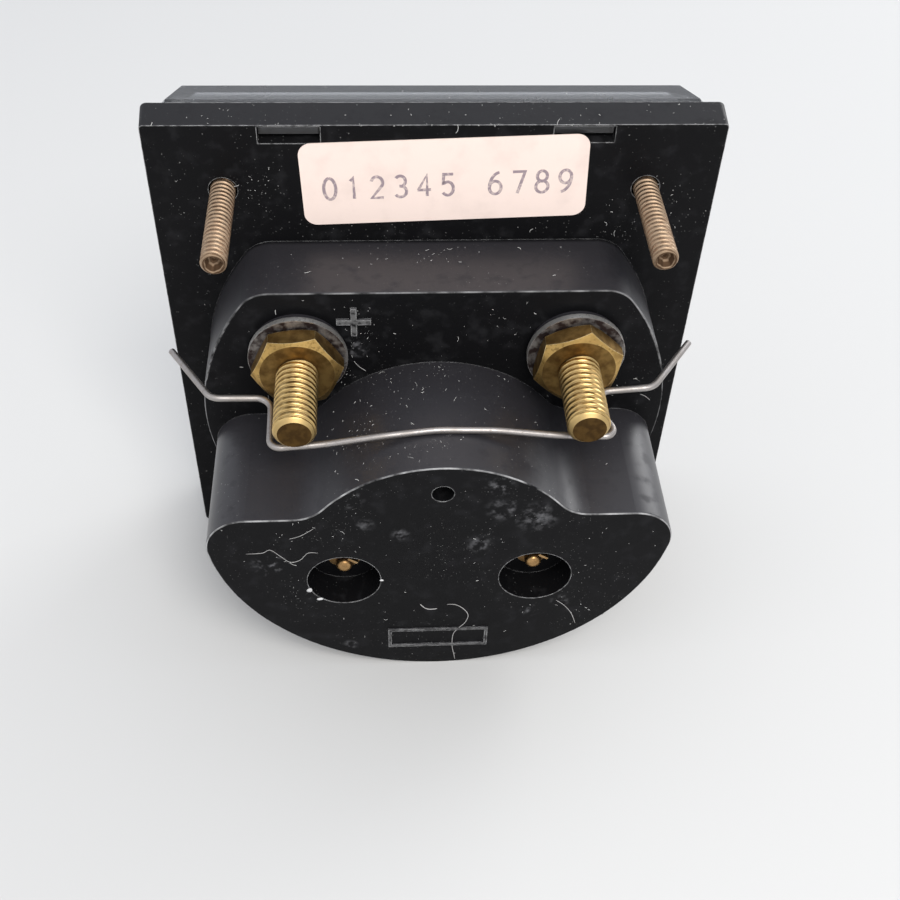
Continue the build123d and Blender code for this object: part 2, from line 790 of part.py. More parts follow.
# Moving coil: former and winding, a rectangular loop round the core, square to the pointer
former_front = core_front - coil_end_gap
former_back = core_back + coil_end_gap
coil_middle = (core_front + core_back) / 2
turn = radians(rest_angle)
coil_plane = Plane(
    origin=(0, coil_middle, pivot_height),
    x_dir=(cos(turn), 0, sin(turn)),
    z_dir=(-sin(turn), 0, cos(turn)),
)


def coil_loop(inner, thickness, corner):
    """Rectangular loop: inner half width, material thickness, inner corner radius."""
    reach = (former_back - former_front) / 2 + (inner - coil_inner)
    with BuildSketch() as loop:
        RectangleRounded(2 * (inner + thickness), 2 * (reach + thickness), corner + thickness)
        RectangleRounded(2 * inner, 2 * reach, corner, mode=Mode.SUBTRACT)
    return loop.sketch


with BuildPart() as coil_former:
    with BuildSketch(coil_plane):
        add(coil_loop(coil_inner, former_thickness, former_corner))
    extrude(amount=former_half_width, both=True)
coil_former.part.label = "coil_former"
export_step(coil_former.part, "parts/coil_former.step")

winding_inner = coil_inner + former_thickness
with BuildPart() as coil_winding:
    with BuildSketch(coil_plane):
        add(coil_loop(winding_inner, winding_build, winding_corner))
    extrude(amount=winding_half_width, both=True)
coil_winding.part.label = "coil_winding"
export_step(coil_winding.part, "parts/coil_winding.step")

# Staffs: foot on the coil, collet for the hairspring, fine pivot in the jewel
coil_front_face = former_front - former_thickness - winding_build
coil_back_face = former_back + former_thickness + winding_build
front_pivot_base = front_jewel_end + pivot_clearance
rear_pivot_base = rear_jewel_end - pivot_clearance
front_spring_depth = front_jewel_end + spring_setback
rear_spring_depth = rear_jewel_end - spring_setback - spring_width
for name, foot, base, outward, spring_depth in (
    ("front", coil_front_face, front_pivot_base, -1, front_spring_depth),
    ("rear", coil_back_face, rear_pivot_base, 1, rear_spring_depth),
):
    with BuildPart() as staff:
        with BuildSketch(turned_view(foot, 0)):
            Circle(foot_radius)
        extrude(amount=outward * foot_height)
        with BuildSketch(turned_view(foot, 0)):
            Circle(staff_radius)
        extrude(amount=base - foot)
        with BuildSketch(turned_view(spring_depth, 0)):
            Circle(collet_radius)
        extrude(amount=spring_width)
        with BuildSketch(turned_view(base, 0)):
            Circle(pivot_radius)
        extrude(amount=outward * pivot_length)
    staff.part.label = f"{name}_staff"
    export_step(staff.part, f"parts/{name}_staff.step")

# Pointer: hub and three short arms in one sheet, its blade cranked forward over the dial
blade_back = pointer_plane + pointer_thickness
with BuildPart() as pointer:
    with BuildSketch(Plane(origin=(0, 0, pivot_height), x_dir=(-sin(turn), 0, cos(turn)),
                           z_dir=(cos(turn), 0, sin(turn)))):
        with BuildLine():
            Polyline(
                (-tail_length, -pointer_root_front),
                (pointer_bend_start, -pointer_root_front),
                (pointer_bend_end, -blade_back),
                (pointer_length, -blade_back),
                (pointer_length, -pointer_plane),
                (pointer_bend_end, -pointer_plane),
                (pointer_bend_start, -pointer_root_front + pointer_thickness),
                (-tail_length, -pointer_root_front + pointer_thickness),
                close=True,
            )
        make_face()
    extrude(amount=side_arm_length, both=True)
    with BuildSketch(turned_view(pointer_root_front, rest_angle)):
        with BuildLine():
            Polyline(
                (-pointer_root_width / 2, 0),
                (-pointer_tip_width / 2, pointer_length),
                (pointer_tip_width / 2, pointer_length),
                (pointer_root_width / 2, 0),
                close=True,
            )
        make_face()
        Circle(pointer_root_radius)
        Rectangle(2 * side_arm_length, side_arm_width)
        with Locations((0, -tail_length / 2)):
            Rectangle(tail_width, tail_length)
        Circle(staff_radius, mode=Mode.SUBTRACT)
    extrude(amount=2 * pointer_length, both=True, mode=Mode.INTERSECT)
pointer.part.label = "pointer"
export_step(pointer.part, "parts/pointer.step")

# Balance weights: little coils of wire round the tail and the side arms
sheet_middle = pointer_root_front - pointer_thickness / 2
tail_dir = Vector(sin(turn), 0, -cos(turn))
side_dir = Vector(cos(turn), 0, sin(turn))
pointer_centre = Vector(0, sheet_middle, pivot_height)
for name, direction, reach, radius, length, arm_width in (
    ("tail", tail_dir, tail_length, tail_weight_radius, tail_weight_length, tail_width),
    ("left", -side_dir, side_arm_length, side_weight_radius, side_weight_length, side_arm_width),
    ("right", side_dir, side_arm_length, side_weight_radius, side_weight_length, side_arm_width),
):
    with BuildPart() as balance_weight:
        start = pointer_centre + direction * (reach - length)
        with BuildSketch(Plane(origin=start, x_dir=(0, 1, 0), z_dir=direction)):
            Circle(radius)
            Rectangle(pointer_thickness, arm_width, mode=Mode.SUBTRACT)
        extrude(amount=length)
    balance_weight.part.label = f"balance_weight_{name}"
    export_step(balance_weight.part, f"parts/balance_weight_{name}.step")


def hairspring_outline():
    """Flat spiral strip: half circles about two centres, each half turn larger by half the pitch."""
    with BuildSketch() as outline:
        with BuildLine():
            for half in range(spring_half_turns):
                centre = (spring_turn_pitch / 2 if half % 2 else 0, 0)
                radius = spring_start_radius + half * spring_turn_pitch / 2
                start = 180 if half % 2 else 0
                CenterArc(centre, radius - spring_thickness / 2, start, 180)
                CenterArc(centre, radius + spring_thickness / 2, start, 180)
            for middle in (spring_start_radius, spring_end_radius):
                Line((middle - spring_thickness / 2, 0), (middle + spring_thickness / 2, 0))
        make_face()
    return outline.sketch


# Hairsprings: the inner end meets the round collet, the outer end its own anchor above the pivot
spring_start_radius = collet_radius + spring_gap + spring_thickness / 2
spring_end_radius = spring_start_radius + spring_half_turns * spring_turn_pitch / 2
anchor_radius = spring_end_radius + spring_thickness / 2
for name, depth in (("front", front_spring_depth), ("rear", rear_spring_depth)):
    with BuildPart() as hairspring:
        with BuildSketch(turned_view(depth, -90)):
            add(hairspring_outline())
        extrude(amount=spring_width)
    hairspring.part.label = f"{name}_hairspring"
    export_step(hairspring.part, f"parts/{name}_hairspring.step")

# Zero arm: ring on the front jewel screw, fork below for the eccentric pin, spring anchor above
arm_front = front_bridge_face + bridge_thickness + arm_gap
arm_back = arm_front + arm_thickness
with BuildPart() as zero_arm:
    with BuildSketch(turned_view(arm_front, 0)):
        Circle(arm_ring_radius)
        Rectangle(fork_width, fork_reach, align=(Align.CENTER, Align.MAX))
        Rectangle(anchor_width, anchor_radius + anchor_thickness, align=(Align.CENTER, Align.MIN))
        with Locations((0, -fork_root)):
            Rectangle(fork_slot, fork_reach, align=(Align.CENTER, Align.MAX), mode=Mode.SUBTRACT)
        Circle(jewel_radius + arm_clearance, mode=Mode.SUBTRACT)
    extrude(amount=arm_thickness)
    with BuildSketch(turned_view(arm_back, 0)):
        with Locations((0, anchor_radius)):
            Rectangle(anchor_width, anchor_thickness, align=(Align.CENTER, Align.MIN))
    extrude(amount=front_spring_depth + spring_width - arm_back)
zero_arm.part.label = "zero_arm"
export_step(zero_arm.part, "parts/zero_arm.step")

# Fixed anchor of the rear hairspring, standing on the rear bridge
with BuildPart() as rear_spring_anchor:
    with BuildSketch(turned_view(rear_spring_depth, 0)):
        with Locations((0, anchor_radius)):
            Rectangle(anchor_width, anchor_thickness, align=(Align.CENTER, Align.MIN))
    extrude(amount=rear_bridge_face - bridge_thickness - rear_spring_depth)
rear_spring_anchor.part.label = "rear_spring_anchor"
export_step(rear_spring_anchor.part, "parts/rear_spring_anchor.step")

# Zero adjuster: slotted head in the cover, retainer behind the mask, eccentric pin reaching the fork
head_back = cover_front + adjuster_recess
retainer_front = cover_inner_face + mask_thickness + adjuster_play
retainer_back = retainer_front + adjuster_retainer_height
with BuildPart() as zero_adjuster:
    with BuildSketch(rear_view(head_back - adjuster_head_height)):
        with Locations((0, adjuster_height)):
            Circle(adjuster_head_radius)
    extrude(amount=adjuster_head_height)
    fillet(zero_adjuster.faces().sort_by(Axis.Y)[0].edges(), adjuster_rounding)
    with BuildSketch(rear_view(head_back)):
        with Locations((0, adjuster_height)):
            Circle(adjuster_radius)
    extrude(amount=retainer_back - head_back)
    with BuildSketch(rear_view(retainer_front)):
        with Locations((0, adjuster_height)):
            Circle(adjuster_retainer_radius)
    extrude(amount=adjuster_retainer_height)
    with BuildSketch(rear_view(retainer_back)):
        with Locations((0, adjuster_height + eccentric_offset)):
            Circle(eccentric_radius)
    extrude(amount=arm_back + pin_overrun - retainer_back)
    with BuildSketch(rear_view(head_back - adjuster_head_height)):
        with Locations((0, adjuster_height)):
            Rectangle(3 * adjuster_head_radius, screw_slot_width)
    extrude(amount=screw_slot_depth, mode=Mode.SUBTRACT)
zero_adjuster.part.label = "zero_adjuster"
export_step(zero_adjuster.part, "parts/zero_adjuster.step")

# Dial plate with a round notch for the movement, its two screws and the pointer stops
with BuildPart() as dial_plate:
    with BuildSketch(rear_view(dial_face)):
        with Locations((0, (dial_top + dial_bottom) / 2)):
            RectangleRounded(2 * dial_half_width, dial_top - dial_bottom, dial_corner)
        with Locations((0, pivot_height)):
            Circle(dial_opening_radius, mode=Mode.SUBTRACT)
        with Locations(*dial_screw_places.values()):
            Circle(dial_screw_radius + screw_clearance, mode=Mode.SUBTRACT)
    extrude(amount=dial_thickness)
dial_plate.part.label = "dial_plate"
export_step(dial_plate.part, "parts/dial_plate.step")

for name, (x, z) in dial_screw_places.items():
    with BuildPart() as dial_screw:
        with BuildSketch(rear_view(dial_face - dial_screw_head_height)):
            with Locations((x, z)):
                Circle(dial_screw_head_radius)
        extrude(amount=dial_screw_head_height)
        with BuildSketch(rear_view(dial_face)):
            with Locations((x, z)):
                Circle(dial_screw_radius)
        extrude(amount=dial_thickness + dial_screw_length - head_clearance)
        with BuildSketch(rear_view(dial_face - dial_screw_head_height)):
            with Locations((x, z)):
                Rectangle(3 * dial_screw_head_radius, fine_slot)
        extrude(amount=fine_slot, mode=Mode.SUBTRACT)
    dial_screw.part.label = f"dial_screw_{name}"
    export_step(dial_screw.part, f"parts/dial_screw_{name}.step")

blade_at_stop = pointer_root_width - (pointer_root_width - pointer_tip_width) * stop_distance / pointer_length
stop_angle = stop_margin + degrees((stop_radius + blade_at_stop / 2 + stop_clearance) / stop_distance)
for name, angle in (("zero", rest_angle + stop_angle), ("full", rest_angle - dial_sweep - stop_angle)):
    with BuildPart() as pointer_stop:
        with BuildSketch(turned_view(dial_face, angle)):
            with Locations((0, stop_distance)):
                Circle(stop_radius)
        extrude(amount=-stop_height)
    pointer_stop.part.label = f"pointer_stop_{name}"
    export_step(pointer_stop.part, f"parts/pointer_stop_{name}.step")

# Insulated leads from the solder lugs to the bridges
lead_start = step_inside - lug_thickness - lead_radius
lead_track = (ring_outer_radius + dome_radius - wall) / 2
lead_rise = pivot_height + sqrt(lead_track**2 - lead_side**2)
lead_points = {
    "positive": [
        (13.3, lead_start, 4.6),
        (12.2, lead_start - 0.6, 2.6),
        (7.5, 5.4, 2.9),
        (lead_side, 6.4, lead_rise),
        (lead_side, lead_depth - 1.5, lead_rise),
        (lead_side - 0.2, lead_depth, 0.2),
        (bridge_half_width, lead_depth, 0.0),
    ],
    "negative": [
        (-13.3, lead_start, 4.6),
        (-12.9, lead_start - 0.6, 1.6),
        (-14.6, 1.8, -1.8),
        (-15.2, 0.2, -7.5),
        (-14.6, 0.0, pivot_height),
        (-bridge_foot_outer, 0.0, pivot_height),
    ],
}
lead_bends = {"positive": [1.0, 1.6, 1.0, 1.2, 1.0], "negative": [1.6, 1.8, 1.8, 0.3]}
for sign, points in lead_points.items():
    with BuildPart() as lead_wire:
        with BuildLine() as lead_path:
            FilletPolyline(*points, radius=lead_bends[sign])
        with BuildSketch(Plane(origin=lead_path.line @ 0, z_dir=lead_path.line % 0)):
            Circle(lead_radius)
        sweep()
    lead_wire.part.label = f"lead_wire_{sign}"
    export_step(lead_wire.part, f"parts/lead_wire_{sign}.step")
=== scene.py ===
"""Looks of the panel meter: finishes, threads, printing, dust and wear, camera and studio."""
import json
import math
import bpy
import numpy as np
from mathutils import Matrix


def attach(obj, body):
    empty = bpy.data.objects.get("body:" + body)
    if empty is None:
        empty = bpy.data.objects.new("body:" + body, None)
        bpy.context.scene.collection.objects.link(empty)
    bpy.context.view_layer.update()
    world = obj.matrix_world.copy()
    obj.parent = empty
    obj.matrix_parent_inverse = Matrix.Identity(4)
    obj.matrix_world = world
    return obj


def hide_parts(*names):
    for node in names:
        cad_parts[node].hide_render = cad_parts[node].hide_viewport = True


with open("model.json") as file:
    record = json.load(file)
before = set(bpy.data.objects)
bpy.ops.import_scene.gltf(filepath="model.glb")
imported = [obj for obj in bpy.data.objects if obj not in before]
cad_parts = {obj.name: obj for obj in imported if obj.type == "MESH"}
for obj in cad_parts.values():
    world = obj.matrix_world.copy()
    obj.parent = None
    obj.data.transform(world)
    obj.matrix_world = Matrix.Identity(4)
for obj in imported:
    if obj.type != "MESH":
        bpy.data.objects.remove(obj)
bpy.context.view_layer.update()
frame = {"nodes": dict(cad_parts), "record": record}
nodes = frame["nodes"]
MM = 0.001


# Camera at the photograph's place
def camera_matrix(place, right, up, forward):
    """Camera axes as columns: right, up, backwards, then its place in millimetres."""
    columns = (right, up, [-c for c in forward], [c * MM for c in place])
    return Matrix([[column[row] for column in columns] for row in range(3)] + [[0, 0, 0, 1]])


camera_data = bpy.data.cameras.new("camera")
camera_data.sensor_width = 36.0
camera_data.lens = 48.8
camera_data.clip_start = 0.005
camera_data.clip_end = 20.0
camera = bpy.data.objects.new("camera", camera_data)
bpy.context.scene.collection.objects.link(camera)
camera.matrix_world = camera_matrix(
    (6.96, 116.60, 102.74),
    (-0.99816, 0.05299, 0.02934),
    (-0.01788, -0.72060, 0.69312),
    (-0.05787, -0.69132, -0.72023),
)
bpy.context.scene.camera = camera


# Node groups: each takes named inputs and gives named outputs
def new_group(name, inputs, outputs):
    """Empty shader group with float or vector sockets; returns the tree with its two end nodes."""
    tree = bpy.data.node_groups.new(name, "ShaderNodeTree")
    for label, value in inputs:
        kind = "NodeSocketVector" if isinstance(value, tuple) else "NodeSocketFloat"
        tree.interface.new_socket(label, in_out="INPUT", socket_type=kind).default_value = value
    for label, kind in outputs:
        tree.interface.new_socket(label, in_out="OUTPUT", socket_type=kind)
    return tree, tree.nodes.new("NodeGroupInput"), tree.nodes.new("NodeGroupOutput")


def put(tree, socket, value):
    """Feed a socket from another socket, or set it to a constant."""
    if isinstance(value, bpy.types.NodeSocket):
        tree.links.new(value, socket)
    else:
        socket.default_value = value


def math_node(tree, operation, *values, clamp=False):
    node = tree.nodes.new("ShaderNodeMath")
    node.operation = operation
    node.use_clamp = clamp
    for socket, value in zip(node.inputs, values):
        put(tree, socket, value)
    return node.outputs[0]


def times(tree, first, second, clamp=False):
    """Product of two numbers or sockets."""
    return math_node(tree, "MULTIPLY", first, second, clamp=clamp)


def less_from_one(tree, value):
    """One minus a number or socket."""
    return math_node(tree, "SUBTRACT", 1.0, value)


def vector_node(tree, operation, *values):
    node = tree.nodes.new("ShaderNodeVectorMath")
    node.operation = operation
    for socket, value in zip(node.inputs, values):
        put(tree, socket, value)
    return node.outputs["Value" if operation in ("LENGTH", "DISTANCE", "DOT_PRODUCT") else "Vector"]


def ramp(tree, value, low, high):
    """Smooth step from 0 at low to 1 at high; low may be above high."""
    node = tree.nodes.new("ShaderNodeMapRange")
    node.interpolation_type = "SMOOTHSTEP"
    for label, v in (("Value", value), ("From Min", low), ("From Max", high)):
        put(tree, node.inputs[label], v)
    return node.outputs["Result"]


def place_node(tree):
    return tree.nodes.new("ShaderNodeTexCoord").outputs["Object"]


def noise(tree, scale, detail=3.0, vector=None):
    node = tree.nodes.new("ShaderNodeTexNoise")
    put(tree, node.inputs["Vector"], vector or place_node(tree))
    put(tree, node.inputs["Scale"], scale)
    node.inputs["Detail"].default_value = detail
    return node.outputs["Fac"]


def make_edge_group():
    """Worn convex edges: where a rounded normal leaves the true one, except in inward corners."""
    tree, source, out = new_group(
        "edge_wear",
        [("Radius", 0.0002), ("Amount", 1.0), ("Scale", 900.0), ("Low", 0.015), ("High", 0.16)],
        [("Mask", "NodeSocketFloat")],
    )
    bevel = tree.nodes.new("ShaderNodeBevel")
    bevel.samples = 6
    put(tree, bevel.inputs["Radius"], source.outputs["Radius"])
    true_normal = tree.nodes.new("ShaderNodeNewGeometry").outputs["Normal"]
    turn = less_from_one(tree, vector_node(tree, "DOT_PRODUCT", bevel.outputs[0], true_normal))
    hollow = tree.nodes.new("ShaderNodeAmbientOcclusion")
    hollow.samples = 4
    hollow.inputs["Distance"].default_value = 0.0006
    open_side = ramp(tree, hollow.outputs["AO"], 0.55, 0.85)
    broken = ramp(tree, noise(tree, source.outputs["Scale"]), 0.35, 0.6)
    turned = ramp(tree, turn, source.outputs["Low"], source.outputs["High"])
    mask = times(tree, turned, open_side)
    mask = times(tree, mask, math_node(tree, "ADD", times(tree, broken, 0.7), 0.3))
    put(tree, out.inputs["Mask"], times(tree, mask, source.outputs["Amount"], clamp=True))
    return tree


def make_speck_group():
    """Irregular specks in a share of random cells, each of its own size and brightness."""
    tree, source, out = new_group(
        "specks",
        [("Vector", (0.0, 0.0, 0.0)), ("Scale", 900.0), ("Size", 0.15), ("Share", 0.2)],
        [("Mask", "NodeSocketFloat")],
    )
    ripple = tree.nodes.new("ShaderNodeTexNoise")
    put(tree, ripple.inputs["Vector"], source.outputs["Vector"])
    put(tree, ripple.inputs["Scale"], times(tree, source.outputs["Scale"], 3.5))
    shift = vector_node(tree, "SUBTRACT", ripple.outputs["Color"], (0.5, 0.5, 0.5))
    reach = math_node(tree, "DIVIDE", 0.5, source.outputs["Scale"])
    scaled = tree.nodes.new("ShaderNodeVectorMath")
    scaled.operation = "SCALE"
    put(tree, scaled.inputs[0], shift)
    put(tree, scaled.inputs["Scale"], reach)
    cells = tree.nodes.new("ShaderNodeTexVoronoi")
    moved = vector_node(tree, "ADD", source.outputs["Vector"], scaled.outputs["Vector"])
    put(tree, cells.inputs["Vector"], moved)
    put(tree, cells.inputs["Scale"], source.outputs["Scale"])
    split = tree.nodes.new("ShaderNodeSeparateColor")
    put(tree, split.inputs[0], cells.outputs["Color"])
    held = math_node(tree, "LESS_THAN", split.outputs[0], source.outputs["Share"])
    size = times(tree, source.outputs["Size"], math_node(tree, "ADD", split.outputs[1], 0.35))
    inner = times(tree, size, 0.6)
    disc = ramp(tree, cells.outputs["Distance"], size, inner)
    few_bright = math_node(tree, "POWER", split.outputs[2], 2.5)
    bright = math_node(tree, "ADD", times(tree, few_bright, 0.85), 0.15)
    put(tree, out.inputs["Mask"], times(tree, times(tree, disc, held), bright))
    return tree


def make_patch_group():
    """A ball of influence with a ragged border: 1 at the centre, 0 outside the radius."""
    tree, source, out = new_group(
        "patch",
        [("Centre", (0.0, 0.0, 0.0)), ("Radius", 0.002), ("Ragged", 0.5), ("Scale", 1500.0)],
        [("Mask", "NodeSocketFloat")],
    )
    away = vector_node(tree, "DISTANCE", place_node(tree), source.outputs["Centre"])
    near = ramp(tree, math_node(tree, "DIVIDE", away, source.outputs["Radius"]), 1.0, 0.15)
    ragged = ramp(tree, noise(tree, source.outputs["Scale"], 6.0), source.outputs["Ragged"], 0.75)
    put(tree, out.inputs["Mask"], times(tree, near, ragged, clamp=True))
    return tree


def make_grain_group():
    """Fine moulded or cast grain as a bump."""
    tree, source, out = new_group(
        "grain",
        [("Scale", 4000.0), ("Strength", 0.2), ("Depth", 0.00002)],
        [("Normal", "NodeSocketVector")],
    )
    bump = tree.nodes.new("ShaderNodeBump")
    put(tree, bump.inputs["Strength"], source.outputs["Strength"])
    put(tree, bump.inputs["Distance"], source.outputs["Depth"])
    put(tree, bump.inputs["Height"], noise(tree, source.outputs["Scale"], 4.0))
    put(tree, out.inputs["Normal"], bump.outputs["Normal"])
    return tree


def make_groove_group():
    """Distance from an axis along Y: 1 down in the thread's groove, 0 on its crest."""
    tree, source, out = new_group(
        "groove",
        [("Axis", (0.0, 0.0, 0.0)), ("Root", 0.002), ("Crest", 0.0024)],
        [("Mask", "NodeSocketFloat")],
    )
    from_axis = vector_node(tree, "SUBTRACT", place_node(tree), source.outputs["Axis"])
    across = vector_node(tree, "MULTIPLY", from_axis, (1.0, 0.0, 1.0))
    reach = vector_node(tree, "LENGTH", across)
    put(tree, out.inputs["Mask"], ramp(tree, reach, source.outputs["Crest"], source.outputs["Root"]))
    return tree


edge_group = make_edge_group()
speck_group = make_speck_group()
patch_group = make_patch_group()
grain_group = make_grain_group()
groove_group = make_groove_group()


def use(tree, group, **values):
    """A group node with its inputs fed."""
    node = tree.nodes.new("ShaderNodeGroup")
    node.node_tree = group
    for label, value in values.items():
        put(tree, node.inputs[label], value)
    return node.outputs[0]


def mix(tree, factor, first, second):
    """Blend of two colours, each a socket or a linear RGB triple."""
    node = tree.nodes.new("ShaderNodeMix")
    node.data_type = "RGBA"
    put(tree, node.inputs["Factor"], factor)
    for socket, value in ((node.inputs[6], first), (node.inputs[7], second)):
        put(tree, socket, (*value, 1.0) if isinstance(value, tuple) else value)
    return node.outputs[2]


def blend(tree, factor, first, second):
    """Blend of two numbers."""
    node = tree.nodes.new("ShaderNodeMix")
    for socket, value in zip(node.inputs[:4], (factor, None, first, second)):
        if value is not None:
            put(tree, socket, value)
    return node.outputs[0]


def finish_of(name, colour, roughness, metallic=0.0):
    """New material; returns it with its tree and Principled node."""
    made = bpy.data.materials.new(name)
    made.use_nodes = True
    shader = made.node_tree.nodes["Principled BSDF"]
    shader.inputs["Base Color"].default_value = (*colour, 1.0)
    shader.inputs["Roughness"].default_value = roughness
    shader.inputs["Metallic"].default_value = metallic
    made.diffuse_color = (*colour, 1.0)
    return made, made.node_tree, shader


def wide_sum(tree, masks):
    total = masks[0]
    for mask in masks[1:]:
        total = math_node(tree, "MAXIMUM", total, mask)
    return total


BARREL_BACK = 26.9
STEP_BACK = 9.7
smudges = [
    ((8.7, BARREL_BACK, -2.7), 1.3, 0.36),
    ((-4.5, BARREL_BACK, -6.6), 1.9, 0.42),
    ((-10.7, BARREL_BACK, -2.0), 3.2, 0.42),
    ((-7.0, BARREL_BACK, -0.4), 2.6, 0.44),
    ((-6.3, BARREL_BACK, 3.3), 2.2, 0.5),
    ((4.7, BARREL_BACK, -4.6), 1.4, 0.45),
    ((10.3, BARREL_BACK, 1.6), 2.0, 0.5),
    ((-11.3, BARREL_BACK, -19.6), 1.5, 0.45),
    ((11.1, BARREL_BACK, -26.0), 1.3, 0.45),
    ((-14.9, BARREL_BACK, -17.7), 1.6, 0.45),
    ((20.0, BARREL_BACK, -9.5), 2.6, 0.52),
    ((11.6, STEP_BACK, -1.2), 1.5, 0.42),
    ((9.6, STEP_BACK, 8.6), 2.2, 0.48),
]
SEAT_BACK = 10.55
PLUS_MARK = (9.6, 10.0, 12.8)
TERMINALS = {"positive": (16.1, 8.5), "negative": (-16.1, 8.5)}


def along_y(tree, vector):
    """Second component of a vector."""
    split = tree.nodes.new("ShaderNodeSeparateXYZ")
    put(tree, split.inputs[0], vector)
    return split.outputs["Y"]


POCKETS = [(11.4, -12.8), (-11.4, -12.8)]
VENT = (0.0, 2.25)
POCKET_REACH = 4.5
VENT_REACH = 1.5
HOLES = [(*place, POCKET_REACH) for place in POCKETS] + [(*VENT, VENT_REACH)]
dusty = [
    ((9.6, STEP_BACK, 9.5), 4.0), ((9.4, STEP_BACK, 4.0), 3.5), ((9.5, 15.0, 6.0), 6.0),
    ((7.5, 22.0, 5.0), 4.0), ((-8.0, STEP_BACK, 11.0), 4.0), ((21.0, 0.0, 23.5), 5.0),
    ((-21.0, 0.0, 17.0), 4.0), ((4.0, 0.0, 18.5), 3.0), ((-25.0, STEP_BACK, 6.0), 3.5),
    ((0.0, 22.0, 6.4), 4.0), ((12.0, BARREL_BACK, -4.0), 6.0),
]


def metres(place):
    """Millimetres to metres, point by point."""
    return tuple(c * MM for c in place)


def near_point(tree, place, centre, outer, inner):
    """1 within the inner distance of a point in millimetres, 0 beyond the outer one."""
    away = vector_node(tree, "DISTANCE", place, metres(centre))
    return ramp(tree, away, outer * MM, inner * MM)


def case_edges(tree, place, depth, back):
    """Pale rims of the rear faces and worn edges, none of them on the seats under the washers."""
    rims = times(tree, ramp(tree, back, 0.3, 0.5), ramp(tree, back, 0.96, 0.85))
    rims = times(tree, rims, ramp(tree, depth, 0.0091, 0.0094))
    rims = times(tree, rims, ramp(tree, noise(tree, 420.0, 6.0), 0.3, 0.68))
    rims = times(tree, rims, blend(tree, ramp(tree, depth, 0.012, 0.024), 0.5, 1.0))
    edges = use(tree, edge_group, Radius=0.0002, Amount=0.9, Scale=1300.0)
    seats = wide_sum(tree, [
        near_point(tree, place, (x, SEAT_BACK, z), 6.2, 5.9) for x, z in TERMINALS.values()
    ])
    return times(tree, wide_sum(tree, [rims, edges]), less_from_one(tree, seats))


def case_marks(tree, place, depth):
    """Pale faces of the raised plus and border, broken up by noise, and the plus mark's edges."""
    plus_area = near_point(tree, place, PLUS_MARK, 2.6, 1.8)
    on_plus = times(tree, ramp(tree, depth, 0.00975, 0.0099), plus_area)
    plus_edge = times(tree, plus_area, use(tree, edge_group, Radius=0.0002, Scale=900.0))
    on_border = times(tree, ramp(tree, depth, 0.02694, 0.02705), 0.19)
    raised = wide_sum(tree, [times(tree, on_plus, 0.28), on_border])
    raised = times(tree, raised, ramp(tree, noise(tree, 1500.0, 5.0), 0.3, 0.6))
    return wide_sum(tree, [raised, plus_edge])


def case_dust(tree, place, upward):
    """Specks of two sizes on rear and upper faces, dense in the dusty places."""
    heaps = wide_sum(tree, [
        use(tree, patch_group, Centre=metres(centre), Radius=reach * MM, Ragged=0.3, Scale=700.0)
        for centre, reach in dusty
    ])
    scattered = times(tree, ramp(tree, noise(tree, 130.0, 3.0), 0.4, 0.66), 0.7)
    settled = times(tree, ramp(tree, upward, 0.2, 0.8), wide_sum(tree, [scattered, heaps]))
    share = blend(tree, heaps, 0.1, 0.4)
    finest = use(tree, speck_group, Vector=place, Scale=5600.0, Size=0.3, Share=share)
    fine = use(tree, speck_group, Vector=place, Scale=2800.0, Size=0.22, Share=times(tree, share, 0.4))
    return times(tree, wide_sum(tree, [finest, fine]), settled)


def case_satin(tree, place, depth, back):
    """Smooth walls behind the flange, given the coat and a painted sheen in their colour, fainter on its
    edge, none in the pockets and the vent.
    """
    split = tree.nodes.new("ShaderNodeSeparateXYZ")
    put(tree, split.inputs[0], vector_node(tree, "ABSOLUTE", place))
    outermost = math_node(tree, "MAXIMUM", split.outputs["X"], split.outputs["Z"])
    edge_walls = times(tree, ramp(tree, outermost, 0.0308, 0.0313), 0.3)
    outside = math_node(tree, "MAXIMUM", ramp(tree, depth, 0.0, 0.0008), edge_walls)
    satin_and_sheen = times(tree, ramp(tree, back, 0.7, 0.3), outside)
    for x, z, reach in HOLES:
        hole = use(
            tree, groove_group, Axis=metres((x, 0.0, z)), Root=reach * MM, Crest=(reach + 0.1) * MM
        )
        satin_and_sheen = times(tree, satin_and_sheen, less_from_one(tree, hole))
    return satin_and_sheen


